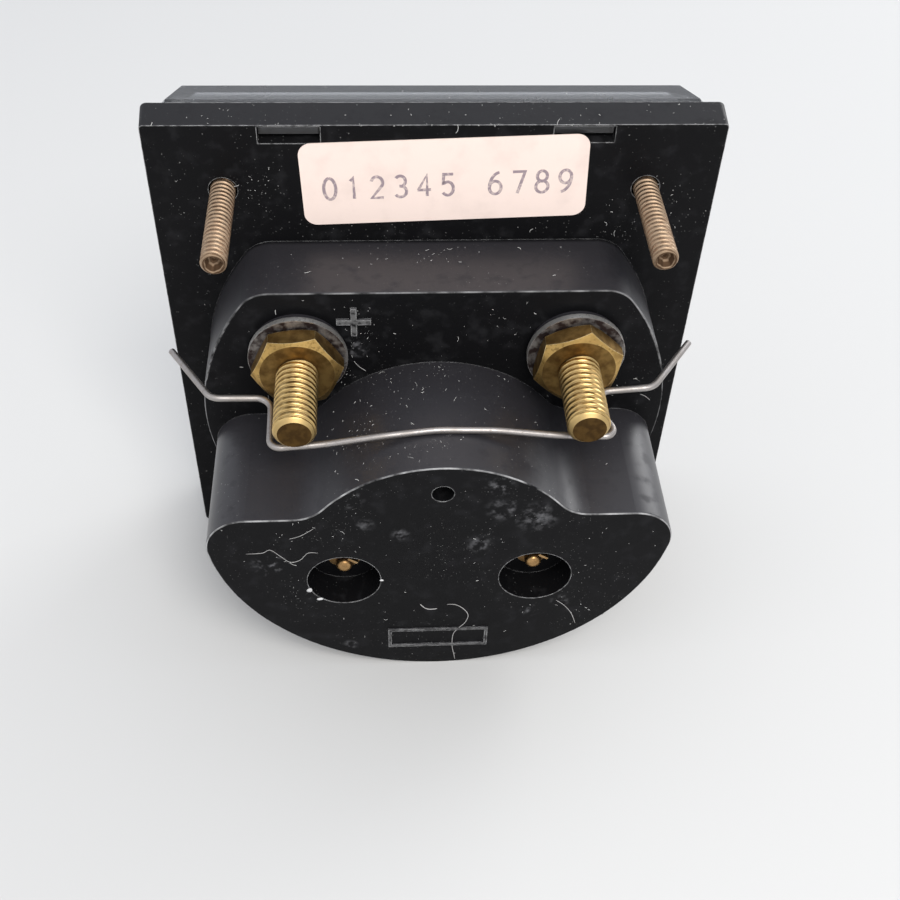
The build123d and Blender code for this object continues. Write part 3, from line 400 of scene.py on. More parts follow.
def case_finish(name, colour):
    """Black moulding: matt rear faces, smooth coated walls lightened by a painted sheen, dust, smudges, pale
    rims, edges and marks.
    """
    made, tree, shader = finish_of(name, colour, 0.42)
    place = place_node(tree)
    depth = along_y(tree, place)
    facing = tree.nodes.new("ShaderNodeSeparateXYZ")
    put(tree, facing.inputs[0], tree.nodes.new("ShaderNodeNewGeometry").outputs["Normal"])
    back = math_node(tree, "ABSOLUTE", facing.outputs["Y"])
    upward = math_node(tree, "MAXIMUM", facing.outputs["Y"], facing.outputs["Z"])
    wear = case_edges(tree, place, depth, back)
    raised = case_marks(tree, place, depth)
    dust = case_dust(tree, place, upward)
    satin_and_sheen = case_satin(tree, place, depth, back)
    mottle = times(tree, ramp(tree, noise(tree, 480.0, 8.0), 0.5, 0.74), ramp(tree, upward, 0.6, 0.95))
    marks = wide_sum(tree, [
        use(tree, patch_group, Centre=metres(centre), Radius=reach * MM, Ragged=ragged, Scale=1250.0)
        for centre, reach, ragged in smudges
    ])
    # Painted sheen: the smooth walls' colour is lifted from near black towards grey.
    shade = mix(tree, satin_and_sheen, colour, (0.021, 0.02, 0.0235))
    shade = mix(tree, times(tree, mottle, 0.18), shade, (0.05, 0.05, 0.054))
    shade = mix(tree, times(tree, marks, 0.55), shade, (0.2, 0.2, 0.21))
    shade = mix(tree, times(tree, wide_sum(tree, [wear, raised]), 0.85), shade, (0.5, 0.5, 0.5))
    put(tree, shader.inputs["Base Color"], mix(tree, times(tree, dust, 0.85), shade, (0.55, 0.55, 0.53)))
    rough = blend(tree, noise(tree, 300.0, 5.0), 0.46, 0.6)
    dull = wide_sum(tree, [marks, dust, mottle, wear])
    put(tree, shader.inputs["Roughness"], blend(tree, dull, rough, 0.75))
    put(tree, shader.inputs["Normal"], use(tree, grain_group, Scale=2600.0, Strength=0.25, Depth=0.00003))
    shader.inputs["Specular IOR Level"].default_value = 0.09
    put(tree, shader.inputs["Coat Weight"], times(tree, satin_and_sheen, blend(tree, mottle, 1.0, 0.5)))
    shader.inputs["Coat Roughness"].default_value = 0.42
    return made


def hollow_mask(tree, distance):
    """1 in crevices narrower than about this distance, 0 in the open."""
    hollow = tree.nodes.new("ShaderNodeAmbientOcclusion")
    hollow.samples = 4
    hollow.inputs["Distance"].default_value = distance
    return ramp(tree, hollow.outputs["AO"], 0.8, 0.35)


def metal_finish(name, colour, worn, dirt, roughness, edge=0.7, stains=(), stain_amount=0.7,
                 edge_width=0.18, edge_turn=(0.015, 0.16), crevice_shade=0.85):
    """Plain or plated metal: cloudy tarnish, painted shade in crevices, grime on stained faces, worn edges,
    fine grain.

    A stain is a pair of |normal y| values: faces go from clean at the first to stained at the second."""
    made, tree, shader = finish_of(name, colour, roughness, 1.0)
    clouds = ramp(tree, noise(tree, 420.0, 6.0), 0.42, 0.72)
    spots = ramp(tree, noise(tree, 2500.0, 4.0), 0.5, 0.68)
    # Tarnish clouds and spots, with painted shade in crevices from the ambient occlusion mask.
    darkening = wide_sum(tree, [
        times(tree, clouds, 0.5),
        times(tree, spots, 0.5),
        times(tree, hollow_mask(tree, 0.0012), crevice_shade),
    ])
    if stains:
        normal = tree.nodes.new("ShaderNodeNewGeometry").outputs["Normal"]
        facing = math_node(tree, "ABSOLUTE", along_y(tree, normal))
        ragged = times(tree, ramp(tree, noise(tree, 900.0, 6.0), 0.3, 0.7), 0.4)
        ragged = math_node(tree, "ADD", ragged, 0.6)
        stained = times(tree, wide_sum(tree, [ramp(tree, facing, *pair) for pair in stains]), ragged)
        darkening = wide_sum(tree, [darkening, times(tree, stained, stain_amount)])
    shade = mix(tree, darkening, colour, dirt)
    low, high = edge_turn
    edges = use(tree, edge_group, Radius=edge_width * MM, Amount=edge, Scale=1600.0, Low=low, High=high)
    put(tree, shader.inputs["Base Color"], mix(tree, edges, shade, worn))
    rough = blend(tree, darkening, roughness, min(roughness + 0.22, 0.9))
    put(tree, shader.inputs["Roughness"], blend(tree, edges, rough, roughness * 0.8))
    put(tree, shader.inputs["Normal"], use(tree, grain_group, Scale=3800.0, Strength=0.3, Depth=0.00002))
    return made


def thread_finish(name, colour, worn, dirt, end_shade, roughness, axis, root, crest):
    """Threaded brass: bright worn thread tops, a painted highlight round the end's bevel, brown grooves, a
    dark end and painted shade in its hollows, round one stud's own axis.
    """
    made, tree, shader = finish_of(name, colour, roughness, 1.0)
    x, z = axis
    groove = use(tree, groove_group, Axis=metres((x, 0.0, z)), Root=root * MM, Crest=crest * MM)
    facing = along_y(tree, tree.nodes.new("ShaderNodeNewGeometry").outputs["Normal"])
    end = ramp(tree, facing, 0.9, 0.99)
    flank = times(tree, groove, ramp(tree, facing, 0.99, 0.9))
    clouds = ramp(tree, noise(tree, 380.0, 5.0), 0.4, 0.75)
    shade = mix(tree, times(tree, clouds, 0.5), colour, dirt)
    shade = mix(tree, times(tree, flank, 0.8), shade, dirt)
    tarnish = mix(tree, ramp(tree, noise(tree, 1100.0, 5.0), 0.4, 0.65), end_shade, dirt)
    shade = mix(tree, times(tree, end, 0.95), shade, tarnish)
    # Painted shade: hollows on the end, such as a screw's crater, are darkened to the end's colour.
    crater_shade = times(tree, hollow_mask(tree, 0.0009), ramp(tree, facing, 0.1, 0.4))
    shade = mix(tree, times(tree, crater_shade, 0.9), shade, end_shade)
    crests_and_highlight = times(tree, ramp(tree, groove, 0.3, 0.0), ramp(tree, noise(tree, 1300.0), 0.4, 0.6))
    # Painted highlight: the bevel round the end is lightened to the worn colour.
    chamfer_highlight = times(tree, ramp(tree, facing, 0.6, 0.68), ramp(tree, facing, 0.9, 0.8))
    crests_and_highlight = wide_sum(tree, [crests_and_highlight, chamfer_highlight])
    put(tree, shader.inputs["Base Color"], mix(tree, times(tree, crests_and_highlight, 0.55), shade, worn))
    rough = blend(tree, wide_sum(tree, [flank, end]), roughness, min(roughness + 0.25, 0.9))
    put(tree, shader.inputs["Roughness"], rough)
    put(tree, shader.inputs["Normal"], use(tree, grain_group, Scale=4200.0, Strength=0.3, Depth=0.00002))
    return made


def plain_finish(name, colour, roughness, metallic=0.0, grain=0.2, cloud=0.8):
    """Even colour with a faint cloud, down to this share of the colour, and a fine grain."""
    made, tree, shader = finish_of(name, colour, roughness, metallic)
    darker = tuple(c * cloud for c in colour)
    clouds = ramp(tree, noise(tree, 350.0, 4.0), 0.35, 0.8)
    put(tree, shader.inputs["Base Color"], mix(tree, clouds, colour, darker))
    put(tree, shader.inputs["Normal"], use(tree, grain_group, Scale=3500.0, Strength=grain, Depth=0.00002))
    return made


def clear_finish(name, colour):
    """Clear moulding with a little dust and scuffs, with painted shade on its side walls and where its tabs
    stand in the flange's slots.
    """
    made, tree, shader = finish_of(name, colour, 0.06)
    shader.inputs["IOR"].default_value = 1.56
    shader.inputs["Transmission Weight"].default_value = 1.0
    place = place_node(tree)
    # Painted shade: the tabs inside the flange's slots are coloured near black.
    slot_shade = ramp(tree, along_y(tree, place), -0.0042, -0.0038)
    dust = use(tree, speck_group, Vector=place, Scale=1200.0, Size=0.2, Share=0.1)
    scuffs = ramp(tree, noise(tree, 700.0, 6.0), 0.6, 0.78)
    normal = tree.nodes.new("ShaderNodeNewGeometry").outputs["Normal"]
    side_walls = ramp(tree, math_node(tree, "ABSOLUTE", along_y(tree, normal)), 0.7, 0.3)
    # Painted shade: the side walls are coloured grey so that their edges look dark.
    shade = mix(tree, side_walls, colour, (0.2, 0.205, 0.21))
    put(tree, shader.inputs["Base Color"], mix(tree, slot_shade, shade, (0.008, 0.008, 0.009)))
    satin_walls = times(tree, side_walls, 0.55)
    rough = wide_sum(tree, [dust, scuffs, slot_shade, satin_walls])
    put(tree, shader.inputs["Roughness"], blend(tree, rough, 0.05, 0.4))
    return made


def paper_finish(name, colour):
    """Uncoated label stock: fibres, a faint print-through of dots and light soil in patches."""
    made, tree, shader = finish_of(name, colour, 0.8)
    place = place_node(tree)
    fibres = noise(tree, 2600.0, 5.0, vector_node(tree, "MULTIPLY", place, (1.0, 1.0, 0.35)))
    darkening = times(tree, ramp(tree, noise(tree, 220.0, 4.0), 0.45, 0.75), 0.35)
    shade = mix(tree, darkening, colour, (0.62, 0.5, 0.45))
    flecks = use(tree, speck_group, Vector=place, Scale=800.0, Size=0.12, Share=0.08)
    put(tree, shader.inputs["Base Color"], mix(tree, times(tree, flecks, 0.5), shade, (0.3, 0.25, 0.25)))
    bump = tree.nodes.new("ShaderNodeBump")
    bump.inputs["Strength"].default_value = 0.35
    bump.inputs["Distance"].default_value = 0.00003
    put(tree, bump.inputs["Height"], fibres)
    put(tree, shader.inputs["Normal"], bump.outputs["Normal"])
    return made


def ink_finish(name, colour, bare, thin):
    """Stamped ink that lets the stock show where it took badly."""
    made, tree, shader = finish_of(name, colour, 0.7)
    gaps = times(tree, ramp(tree, noise(tree, 2400.0, 5.0), 0.46, 0.66), thin)
    put(tree, shader.inputs["Base Color"], mix(tree, gaps, colour, bare))
    return made


PAPER = (0.9, 0.745, 0.67)
metals = {
    "mounting_brass": ((0.36, 0.24, 0.15), (0.6, 0.46, 0.32), (0.1, 0.06, 0.035), 0.5),
    "terminal_brass": ((0.55, 0.36, 0.12), (0.9, 0.74, 0.4), (0.16, 0.09, 0.03), 0.35),
    # The nut's bright edges are partly wear and partly a painted highlight along its bevel.
    "nut_brass": ((0.56, 0.36, 0.12), (0.98, 0.85, 0.5), (0.066, 0.03, 0.009), 0.33, 1.0,
                  ((0.35, 0.1), (0.9, 0.99)), 0.85, 0.16, (0.045, 0.12)),
    "washer_metal": ((0.86, 0.84, 0.8), (0.9, 0.88, 0.85), (0.05, 0.036, 0.034), 0.45, 1.0,
                     ((0.6, 0.95),), 1.12, 0.14, (0.015, 0.16), 0.25),
    "lug_tin": ((0.6, 0.57, 0.5), (0.85, 0.82, 0.75), (0.3, 0.26, 0.2), 0.4),
    "wire_tin": ((0.41, 0.385, 0.37), (0.85, 0.83, 0.8), (0.3, 0.27, 0.24), 0.42, 0.3),
    "post_brass": ((0.46, 0.28, 0.12), (0.8, 0.6, 0.36), (0.16, 0.08, 0.03), 0.35),
    "ring_steel": ((0.4, 0.41, 0.42), (0.7, 0.7, 0.7), (0.22, 0.22, 0.22), 0.4),
    "magnet_grey": ((0.26, 0.26, 0.27), (0.5, 0.5, 0.5), (0.15, 0.15, 0.15), 0.5),
    "bridge_aluminium": ((0.62, 0.63, 0.64), (0.85, 0.85, 0.85), (0.45, 0.45, 0.45), 0.4),
    "screw_steel": ((0.56, 0.56, 0.55), (0.85, 0.85, 0.84), (0.35, 0.35, 0.34), 0.3),
}
plains = {
    "mask_black": ((0.02, 0.02, 0.021), 0.55),
    "former_aluminium": ((0.7, 0.71, 0.72), 0.35, 1.0),
    "winding_copper": ((0.42, 0.15, 0.06), 0.35, 0.6, 0.5),
    "staff_steel": ((0.58, 0.58, 0.58), 0.2, 1.0),
    "pointer_black": ((0.012, 0.012, 0.012), 0.5),
    "weight_brass": ((0.58, 0.44, 0.22), 0.35, 1.0),
    "spring_bronze": ((0.52, 0.33, 0.17), 0.3, 1.0),
    "dial_white": ((0.82, 0.81, 0.77), 0.5, 0.0, 0.1, 0.95),
    "stop_brass": ((0.58, 0.46, 0.26), 0.35, 1.0),
    "adjuster_black": ((0.02, 0.02, 0.021), 0.4),
    "lead_red": ((0.36, 0.02, 0.02), 0.45),
    "lead_black": ((0.015, 0.015, 0.015), 0.45),
}
finishes = {
    "case_black": case_finish("case_black", (0.0042, 0.0042, 0.0048)),
    "clear_plastic": clear_finish("clear_plastic", (0.985, 0.99, 0.99)),
    "label_paper": paper_finish("label_paper", PAPER),
}
for name, values in metals.items():
    finishes[name] = metal_finish(name, *values)
for name, values in plains.items():
    finishes[name] = plain_finish(name, *values)
for entry in frame["record"]["subparts"]:
    mesh = nodes[entry["node"]].data
    mesh.materials.clear()
    mesh.materials.append(finishes[entry["material_slot"]])


# Meshes from numpy surfaces
def closed_mesh(name, vertices, faces, material, body, smooth=True):
    """Object at the origin from millimetre vertices, turned outwards, riding on a body."""
    vertices = np.asarray(vertices, float) * MM
    tris = np.array([(f[0], f[i], f[i + 1]) for f in faces for i in range(1, len(f) - 1)])
    a, b, c = (vertices[tris[:, k]] for k in range(3))
    if np.einsum("ij,ij->i", a, np.cross(b, c)).sum() < 0:
        faces = [tuple(reversed(f)) for f in faces]
    mesh = bpy.data.meshes.new(name)
    mesh.from_pydata(vertices.tolist(), [], [tuple(int(i) for i in f) for f in faces])
    mesh.polygons.foreach_set("use_smooth", [smooth] * len(mesh.polygons))
    mesh.materials.append(material)
    mesh.update()
    made = bpy.data.objects.new(name, mesh)
    bpy.context.scene.collection.objects.link(made)
    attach(made, body)
    return made


def skin(rings, first, last):
    """Vertices and faces of rings[i][j] joined in turn, the ends fanned to the points first and last."""
    rings = np.asarray(rings, float)
    count, around = rings.shape[:2]
    vertices = np.vstack([rings.reshape(-1, 3), [first, last]])
    j = np.arange(around)
    k = (j + 1) % around
    faces = []
    for i in range(count - 1):
        low, high = i * around, (i + 1) * around
        faces += list(zip(low + j, low + k, high + k, high + j))
    top = (count - 1) * around
    faces += list(zip(np.full(around, count * around), k, j))
    faces += list(zip(np.full(around, count * around + 1), top + j, top + k))
    return vertices, [tuple(int(i) for i in f) for f in faces]


def threaded_rod(x, z, outline, thread, around, end_rings, wobble=0.0):
    """Rod along +Y about (x, z), its thread cut as a helix:
    radius = min(outline(y), crest - depth * fade(y) * groove(y / pitch - a / 2 pi)), a the angle,
    groove(t) = clip((1 - |2 frac(t) - 1| - 0.45) / 0.45, 0, 1). End rings are (radius, y), uneven by
    the wobble."""
    start, stop, crest, depth, pitch, steps = thread
    stations = sorted(set([y for y, _ in outline]) | set(np.arange(start, stop, pitch / steps).tolist()))
    ys, rs = zip(*outline)
    a = np.linspace(0, 2 * np.pi, around, endpoint=False)
    rings = []
    corner = [i for i in range(len(ys) - 1) if ys[i] == ys[i + 1]]
    for y in stations:
        radii = [float(np.interp(y, ys, rs))]
        if any(ys[i] == y for i in corner):
            i = next(i for i in corner if ys[i] == y)
            radii = [rs[i], rs[i + 1]]
        for radius in radii:
            t = np.mod(y / pitch - a / (2 * np.pi), 1.0)
            groove = np.clip((1 - np.abs(2 * t - 1) - 0.45) / 0.45, 0, 1)
            fade = float(np.clip((y - start) / pitch, 0, 1)) if start <= y <= stop else 0.0
            reach = np.full(around, radius)
            if y >= start:
                reach = np.minimum(radius, crest - depth * fade * groove)
            rings.append(np.stack([x + reach * np.cos(a), np.full(around, y), z + reach * np.sin(a)], 1))
    for radius, y in end_rings:
        reach = radius * (1 + wobble * (0.6 * np.sin(3 * a + x) + 0.4 * np.sin(7 * a + z)))
        rings.append(np.stack([x + reach * np.cos(a), np.full(around, y), z + reach * np.sin(a)], 1))
    last_y = rings[-1][0][1]
    return skin(rings, (x, rings[0][0][1], z), (x, last_y, z))


# Terminal studs with their threads
STUD_CREST = 2.415
STUD_END = 23.5
stud_outline = [(5.4, 3.8), (7.0, 3.8), (7.0, 2.2), (13.9, 2.2), (13.9, STUD_CREST), (22.95, STUD_CREST),
                (STUD_END, 1.87)]
stud_thread = (13.0, STUD_END, STUD_CREST, 0.28, 0.794, 14)
stud_end = [(1.84, STUD_END), (1.8, STUD_END)]
for sign, (x, z) in TERMINALS.items():
    finish = thread_finish(f"stud_{sign}", (0.4, 0.25, 0.082), (0.84, 0.62, 0.28), (0.1, 0.055, 0.017),
                           (0.055, 0.029, 0.01), 0.32, (x, z), 2.12, 2.37)
    vertices, faces = threaded_rod(x, z, stud_outline, stud_thread, 72, stud_end)
    stud = closed_mesh(f"threaded_stud_{sign}", vertices, faces, finish, "case")
    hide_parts(f"terminal_stud_{sign}")

# Mounting screws with their threads and cratered ends
PITCH_HALF = 23.88
SCREW_CREST = 1.42
SCREW_END = 13.6
screw_outline = [(-3.9, 2.6), (-2.2, 2.6), (-2.2, 1.6), (0.0, 1.6), (0.0, SCREW_CREST),
                 (13.3, SCREW_CREST), (SCREW_END, 1.15)]
screw_thread = (-0.6, SCREW_END, SCREW_CREST, 0.24, 0.7056, 10)
crater = [(0.98, SCREW_END), (0.86, 13.3), (0.6, 12.8), (0.3, 12.6)]
for place, (x, z) in {
    "upper_left": (PITCH_HALF, PITCH_HALF),
    "upper_right": (-PITCH_HALF, PITCH_HALF),
    "lower_left": (PITCH_HALF, -PITCH_HALF),
    "lower_right": (-PITCH_HALF, -PITCH_HALF),
}.items():
    finish = thread_finish(f"screw_{place}", (0.36, 0.235, 0.15), (0.56, 0.43, 0.3), (0.1, 0.06, 0.035),
                           (0.12, 0.07, 0.04), 0.5, (x, z), 1.2, 1.39)
    vertices, faces = threaded_rod(x, z, screw_outline, screw_thread, 48, crater, 0.12)
    screw = closed_mesh(f"threaded_screw_{place}", vertices, faces, finish, "case")
    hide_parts(f"mounting_screw_{place}")


# Printing: strokes as thin closed ribbons
def arc(cx, cy, rx, ry, start, stop, count=18):
    """Points of an ellipse's arc, angles in degrees."""
    t = np.radians(np.linspace(start, stop, count))
    return [(cx + rx * math.cos(v), cy + ry * math.sin(v)) for v in t]


DIGITS = {
    "0": [arc(0.5, 0.5, 0.42, 0.5, 90, 450, 30)],
    "1": [[(0.3, 0.84), (0.52, 1.0), (0.52, 0.0)]],
    "2": [arc(0.5, 0.72, 0.4, 0.28, 165, -35) + [(0.1, 0.0), (0.92, 0.0)]],
    "3": [arc(0.47, 0.75, 0.36, 0.25, 145, -90), arc(0.47, 0.26, 0.42, 0.26, 100, -145)],
    "4": [[(0.68, 0.0), (0.68, 1.0), (0.06, 0.3)], [(0.0, 0.3), (0.95, 0.3)]],
    "5": [[(0.86, 1.0), (0.2, 1.0), (0.15, 0.56)] + arc(0.47, 0.32, 0.4, 0.32, 128, -145)],
    "6": [arc(0.5, 0.3, 0.4, 0.3, 0, 360, 26), arc(0.85, 0.3, 0.75, 0.7, 180, 96)],
    "7": [[(0.08, 1.0), (0.92, 1.0), (0.42, 0.0)]],
    "8": [arc(0.5, 0.76, 0.34, 0.24, 90, 450, 26), arc(0.5, 0.27, 0.42, 0.27, 90, 450, 26)],
    "9": [arc(0.5, 0.7, 0.4, 0.3, 0, 360, 26), arc(0.15, 0.7, 0.75, 0.7, 0, -84)],
}


def ribbon(points, width, low, high):
    """Closed flat ribbon along a polyline: corners p +/- n width / 2, mitred by the mean normal n."""
    p = np.array(points, float)
    step = np.diff(p, axis=0)
    step /= np.linalg.norm(step, axis=1)[:, None]
    ahead, behind = np.vstack([step, step[-1:]]), np.vstack([step[:1], step])
    along = ahead + behind
    along /= np.linalg.norm(along, axis=1)[:, None]
    across = np.stack([-along[:, 1], along[:, 0]], 1)
    miter = np.clip(1 / np.maximum(np.einsum("ij,ij->i", along, ahead), 0.6), 1, 1.5)[:, None]
    left, right = p + across * width / 2 * miter, p - across * width / 2 * miter
    rings = [[(*l, low), (*r, low), (*r, high), (*l, high)] for l, r in zip(left, right)]
    n = len(rings)
    vertices = [v for ring in rings for v in ring]
    faces = [(4 * i + j, 4 * i + (j + 1) % 4, 4 * i + 4 + (j + 1) % 4, 4 * i + 4 + j)
             for i in range(n - 1) for j in range(4)]
    return vertices, faces + [(3, 2, 1, 0), (4 * n - 4, 4 * n - 3, 4 * n - 2, 4 * n - 1)]


def printed(name, strokes, width, origin, across, up, out, material, body):
    """Mesh of ribbons laid on a plane: origin + u across + v up + h out, all in millimetres."""
    vertices, faces = [], []
    for i, points in enumerate(strokes):
        lift = 0.0006 * (i % 4)
        v, f = ribbon(points, width, -0.01, 0.012 + lift)
        faces += [tuple(k + len(vertices) for k in face) for face in f]
        vertices += v
    o, a, u, n = (np.array(w, float) for w in (origin, across, up, out))
    placed = [o + a * v[0] + u * v[1] + n * v[2] for v in vertices]
    return closed_mesh(name, placed, faces, material, body, smooth=False)


def text_strokes(text, x, y, width, height, pitch):
    strokes = []
    for i, letter in enumerate(text):
        for points in DIGITS.get(letter, []):
            strokes.append([(x + i * pitch + px * width, y + py * height) for px, py in points])
    return strokes


# Stamped numbers on the label
LABEL = (-0.94, 25.06)
LABEL_FACE = 0.12
label_turn = math.radians(2.1)
label_across = (-math.cos(label_turn), 0, math.sin(label_turn))
label_up = (math.sin(label_turn), 0, math.cos(label_turn))
stamp = text_strokes("012345", -13.75, -1.95, 1.6, 2.78, 2.66)
stamp += text_strokes("6789", 4.85, -2.02, 1.65, 2.85, 2.65)
printed(
    "label_stamp", stamp, 0.36, (LABEL[0], LABEL_FACE, LABEL[1]), label_across, label_up, (0, 1, 0),
    ink_finish("stamp_ink", (0.31, 0.245, 0.27), PAPER, 0.45), "case",
)

# Scale on the dial: arc, divisions and plain numbers about the pointer's axis
PIVOT = -10.9
SWEEP = 45.0
SCALE_RADIUS = 30.2
LONG_TICK = 32.8
SHORT_TICK = 31.5
DIAL_FACE = -4.6


def polar(radius, angle):
    """Point at this radius, the angle in degrees from straight up towards +X."""
    return radius * math.sin(math.radians(angle)), radius * math.cos(math.radians(angle))


scale_arc = [polar(SCALE_RADIUS, v) for v in np.linspace(-SWEEP, SWEEP, 61)]
divisions = [[polar(SCALE_RADIUS, v), polar(LONG_TICK if i % 5 == 0 else SHORT_TICK, v)]
             for i, v in enumerate(np.linspace(-SWEEP, SWEEP, 26))]
numerals = []
for i, v in enumerate(np.linspace(-SWEEP, SWEEP, 6)):
    x, z = polar(35.4 if i not in (0, 5) else 34.9, v)
    numerals += text_strokes(str(i), x - 0.85, z - 1.5, 1.7, 3.0, 0.0)
dial_ink = ink_finish("dial_ink", (0.012, 0.012, 0.012), (0.8, 0.79, 0.75), 0.0)
for name, strokes, width in (("dial_scale", [scale_arc] + divisions, 0.3), ("dial_numbers", numerals, 0.4)):
    printed(name, strokes, width, (0, DIAL_FACE, PIVOT), (1, 0, 0), (0, 0, 1), (0, -1, 0), dial_ink,
            "case")


# Lint, hairs and chips that lie on the moulding
def smooth_path(points, count):
    """Catmull-Rom curve through the points:
    0.5 (2b + (c - a) t + (2a - 5b + 4c - d) t^2 + (3b - 3c + d - a) t^3)."""
    p = np.array([points[0], *points, points[-1]], float)
    out = []
    for a, b, c, d in zip(p, p[1:], p[2:], p[3:]):
        for t in np.linspace(0, 1, count, endpoint=False):
            square = (2 * a - 5 * b + 4 * c - d) * t**2
            cube = (3 * b - 3 * c + d - a) * t**3
            out.append(0.5 * (2 * b + (c - a) * t + square + cube))
    return np.array(out + [p[-1]])


def fibre(name, points, radius, material):
    """Hair along a smooth path: ring = path + r (cos a N + sin a B), N = +Y, thinning at both ends."""
    path = smooth_path(points, 6)
    along = np.gradient(path, axis=0)
    along /= np.linalg.norm(along, axis=1)[:, None]
    normal = np.cross(along, (0.0, 1.0, 0.0))
    normal /= np.linalg.norm(normal, axis=1)[:, None]
    second = np.cross(along, normal)
    a = np.linspace(0, 2 * np.pi, 6, endpoint=False)
    thin = radius * np.interp(np.linspace(0, 1, len(path)), [0, 0.1, 0.9, 1], [0.4, 1, 1, 0.4])
    rings = [
        p + t * (np.outer(np.cos(a), n) + np.outer(np.sin(a), s))
        for p, t, n, s in zip(path, thin, normal, second)
    ]
    vertices, faces = skin(rings, path[0], path[-1])
    return closed_mesh(name, vertices, faces, material, "case")


def on_face(depth, points, lift):
    """Points of a rear-facing plane, lifted off it."""
    return [(x, depth + lift, z) for x, z in points]


lint_finish = plain_finish("lint", (0.42, 0.41, 0.4), 0.8)
pale_finish = plain_finish("paint_chip", (0.62, 0.62, 0.62), 0.6)
hair_path = [(-0.98, -17.92), (-2.09, -18.06), (-3.11, -19.03), (-3.66, -20.29), (-3.34, -21.75),
             (-2.51, -22.98), (-1.92, -24.24), (-1.86, -26.64), (-2.19, -28.89), (-2.3, -29.7)]
wavy_path = [(22.48, -7.38), (20.64, -7.26), (19.69, -6.75), (18.63, -7.88), (17.55, -9.03),
             (16.38, -8.7), (15.38, -7.45), (14.23, -7.49)]
middle_path = [(2.32, -17.78), (1.7, -18.6), (1.08, -18.85), (0.22, -18.78)]
right_path = [(-17.26, -22.57), (-16.54, -20.43), (-15.49, -18.73), (-14.4, -17.66)]
for name, depth, points, lift, radius in (
    ("hair_low", BARREL_BACK, hair_path, 0.05, 0.045),
    ("hair_wavy", BARREL_BACK, wavy_path, 0.03, 0.035),
    ("lint_middle", BARREL_BACK, middle_path, 0.03, 0.06),
    ("lint_left", BARREL_BACK, [(17.39, -4.86), (16.12, -4.37), (14.59, -3.19)], 0.03, 0.03),
    ("lint_right", BARREL_BACK, right_path, 0.03, 0.04),
    ("lint_step_left", STEP_BACK, [(9.72, 6.72), (9.2, 5.9), (8.35, 5.11)], 0.03, 0.04),
    ("lint_step_right", STEP_BACK, [(-25.01, 0.67), (-25.68, 0.32), (-26.4, -0.38)], 0.03, 0.035),
):
    fibre(name, on_face(depth, points, lift), radius, lint_finish)


def crumb(name, centre, radii, seed, material):
    """Lump: p = centre + radii * d (1 + 0.25 sin(2 u + seed) cos(1.7 v - seed)), d the direction (u, v)."""
    v = np.linspace(0, np.pi, 9)[1:-1]
    u = np.linspace(0, 2 * np.pi, 12, endpoint=False)
    rings = []
    for angle in v:
        d = np.stack([np.sin(angle) * np.cos(u), np.full(12, np.cos(angle)), np.sin(angle) * np.sin(u)], 1)
        bulge = 1 + 0.25 * np.sin(2 * u + seed) * np.cos(1.7 * angle - seed)
        rings.append(np.array(centre) + np.array(radii) * d * bulge[:, None])
    vertices, faces = skin(rings, np.array(centre) + (0, radii[1], 0), np.array(centre) - (0, radii[1], 0))
    return closed_mesh(name, vertices, faces, material, "case")


crumb("chip_left", (15.6, BARREL_BACK, -14.5), (0.36, 0.14, 0.34), 0.4, pale_finish)
crumb("chip_low", (14.4, BARREL_BACK, -16.25), (0.34, 0.14, 0.24), 2.1, pale_finish)
crumb("chip_rim", (6.95, BARREL_BACK, -12.9), (0.22, 0.1, 0.16), 1.2, pale_finish)
crumb("flash_rim", (-20.3, 26.5, -20.8), (0.7, 0.35, 0.45), 3.0, finishes["case_black"])

# Loose fibres of dust, scattered over the faces that the dust settles on
STEP_CENTRE = -1.7
DOME_RADIUS = 17.3


def on_step(u, v):
    """True where the step's rear face is bare: inside its arc, clear of dome, shelf and terminals."""
    inside = math.hypot(u, v - STEP_CENTRE) < 27.2 and v < 16.2
    clear = math.hypot(u, v - PIVOT) > DOME_RADIUS + 0.3 and v > STEP_CENTRE + 0.3
    return inside and clear and all(math.hypot(u - x, v - z) > 6.0 for x, z in TERMINALS.values())


def on_flange(u, v):
    """True where the flange's rear face is bare: outside the step and off the label."""
    bare = math.hypot(u, v - STEP_CENTRE) > 28.3 or v > 17.2
    on_label = abs(u - LABEL[0]) < 16.8 and abs(v - LABEL[1]) < 6.4
    return bare and max(abs(u), abs(v)) < 31.5 and not on_label


def on_barrel(u, v):
    """True on the barrel's rear face, clear of the pockets and the vent."""
    low = math.hypot(u, v + 3.2) < 26.6 and v < STEP_CENTRE
    inside = low or math.hypot(u, v - PIVOT) < DOME_RADIUS - 0.5
    in_pocket = any(math.hypot(u - x, v - z) <= POCKET_REACH + 0.2 for x, z in POCKETS)
    return inside and not in_pocket and math.hypot(u - VENT[0], v - VENT[1]) > VENT_REACH + 0.1


def on_dome(u, v):
    """Point and outward direction on the dome, u along its arc from the top."""
    turn = u / DOME_RADIUS
    out = (math.sin(turn), 0, math.cos(turn))
    return (DOME_RADIUS * out[0], v, PIVOT + DOME_RADIUS * out[2]), out


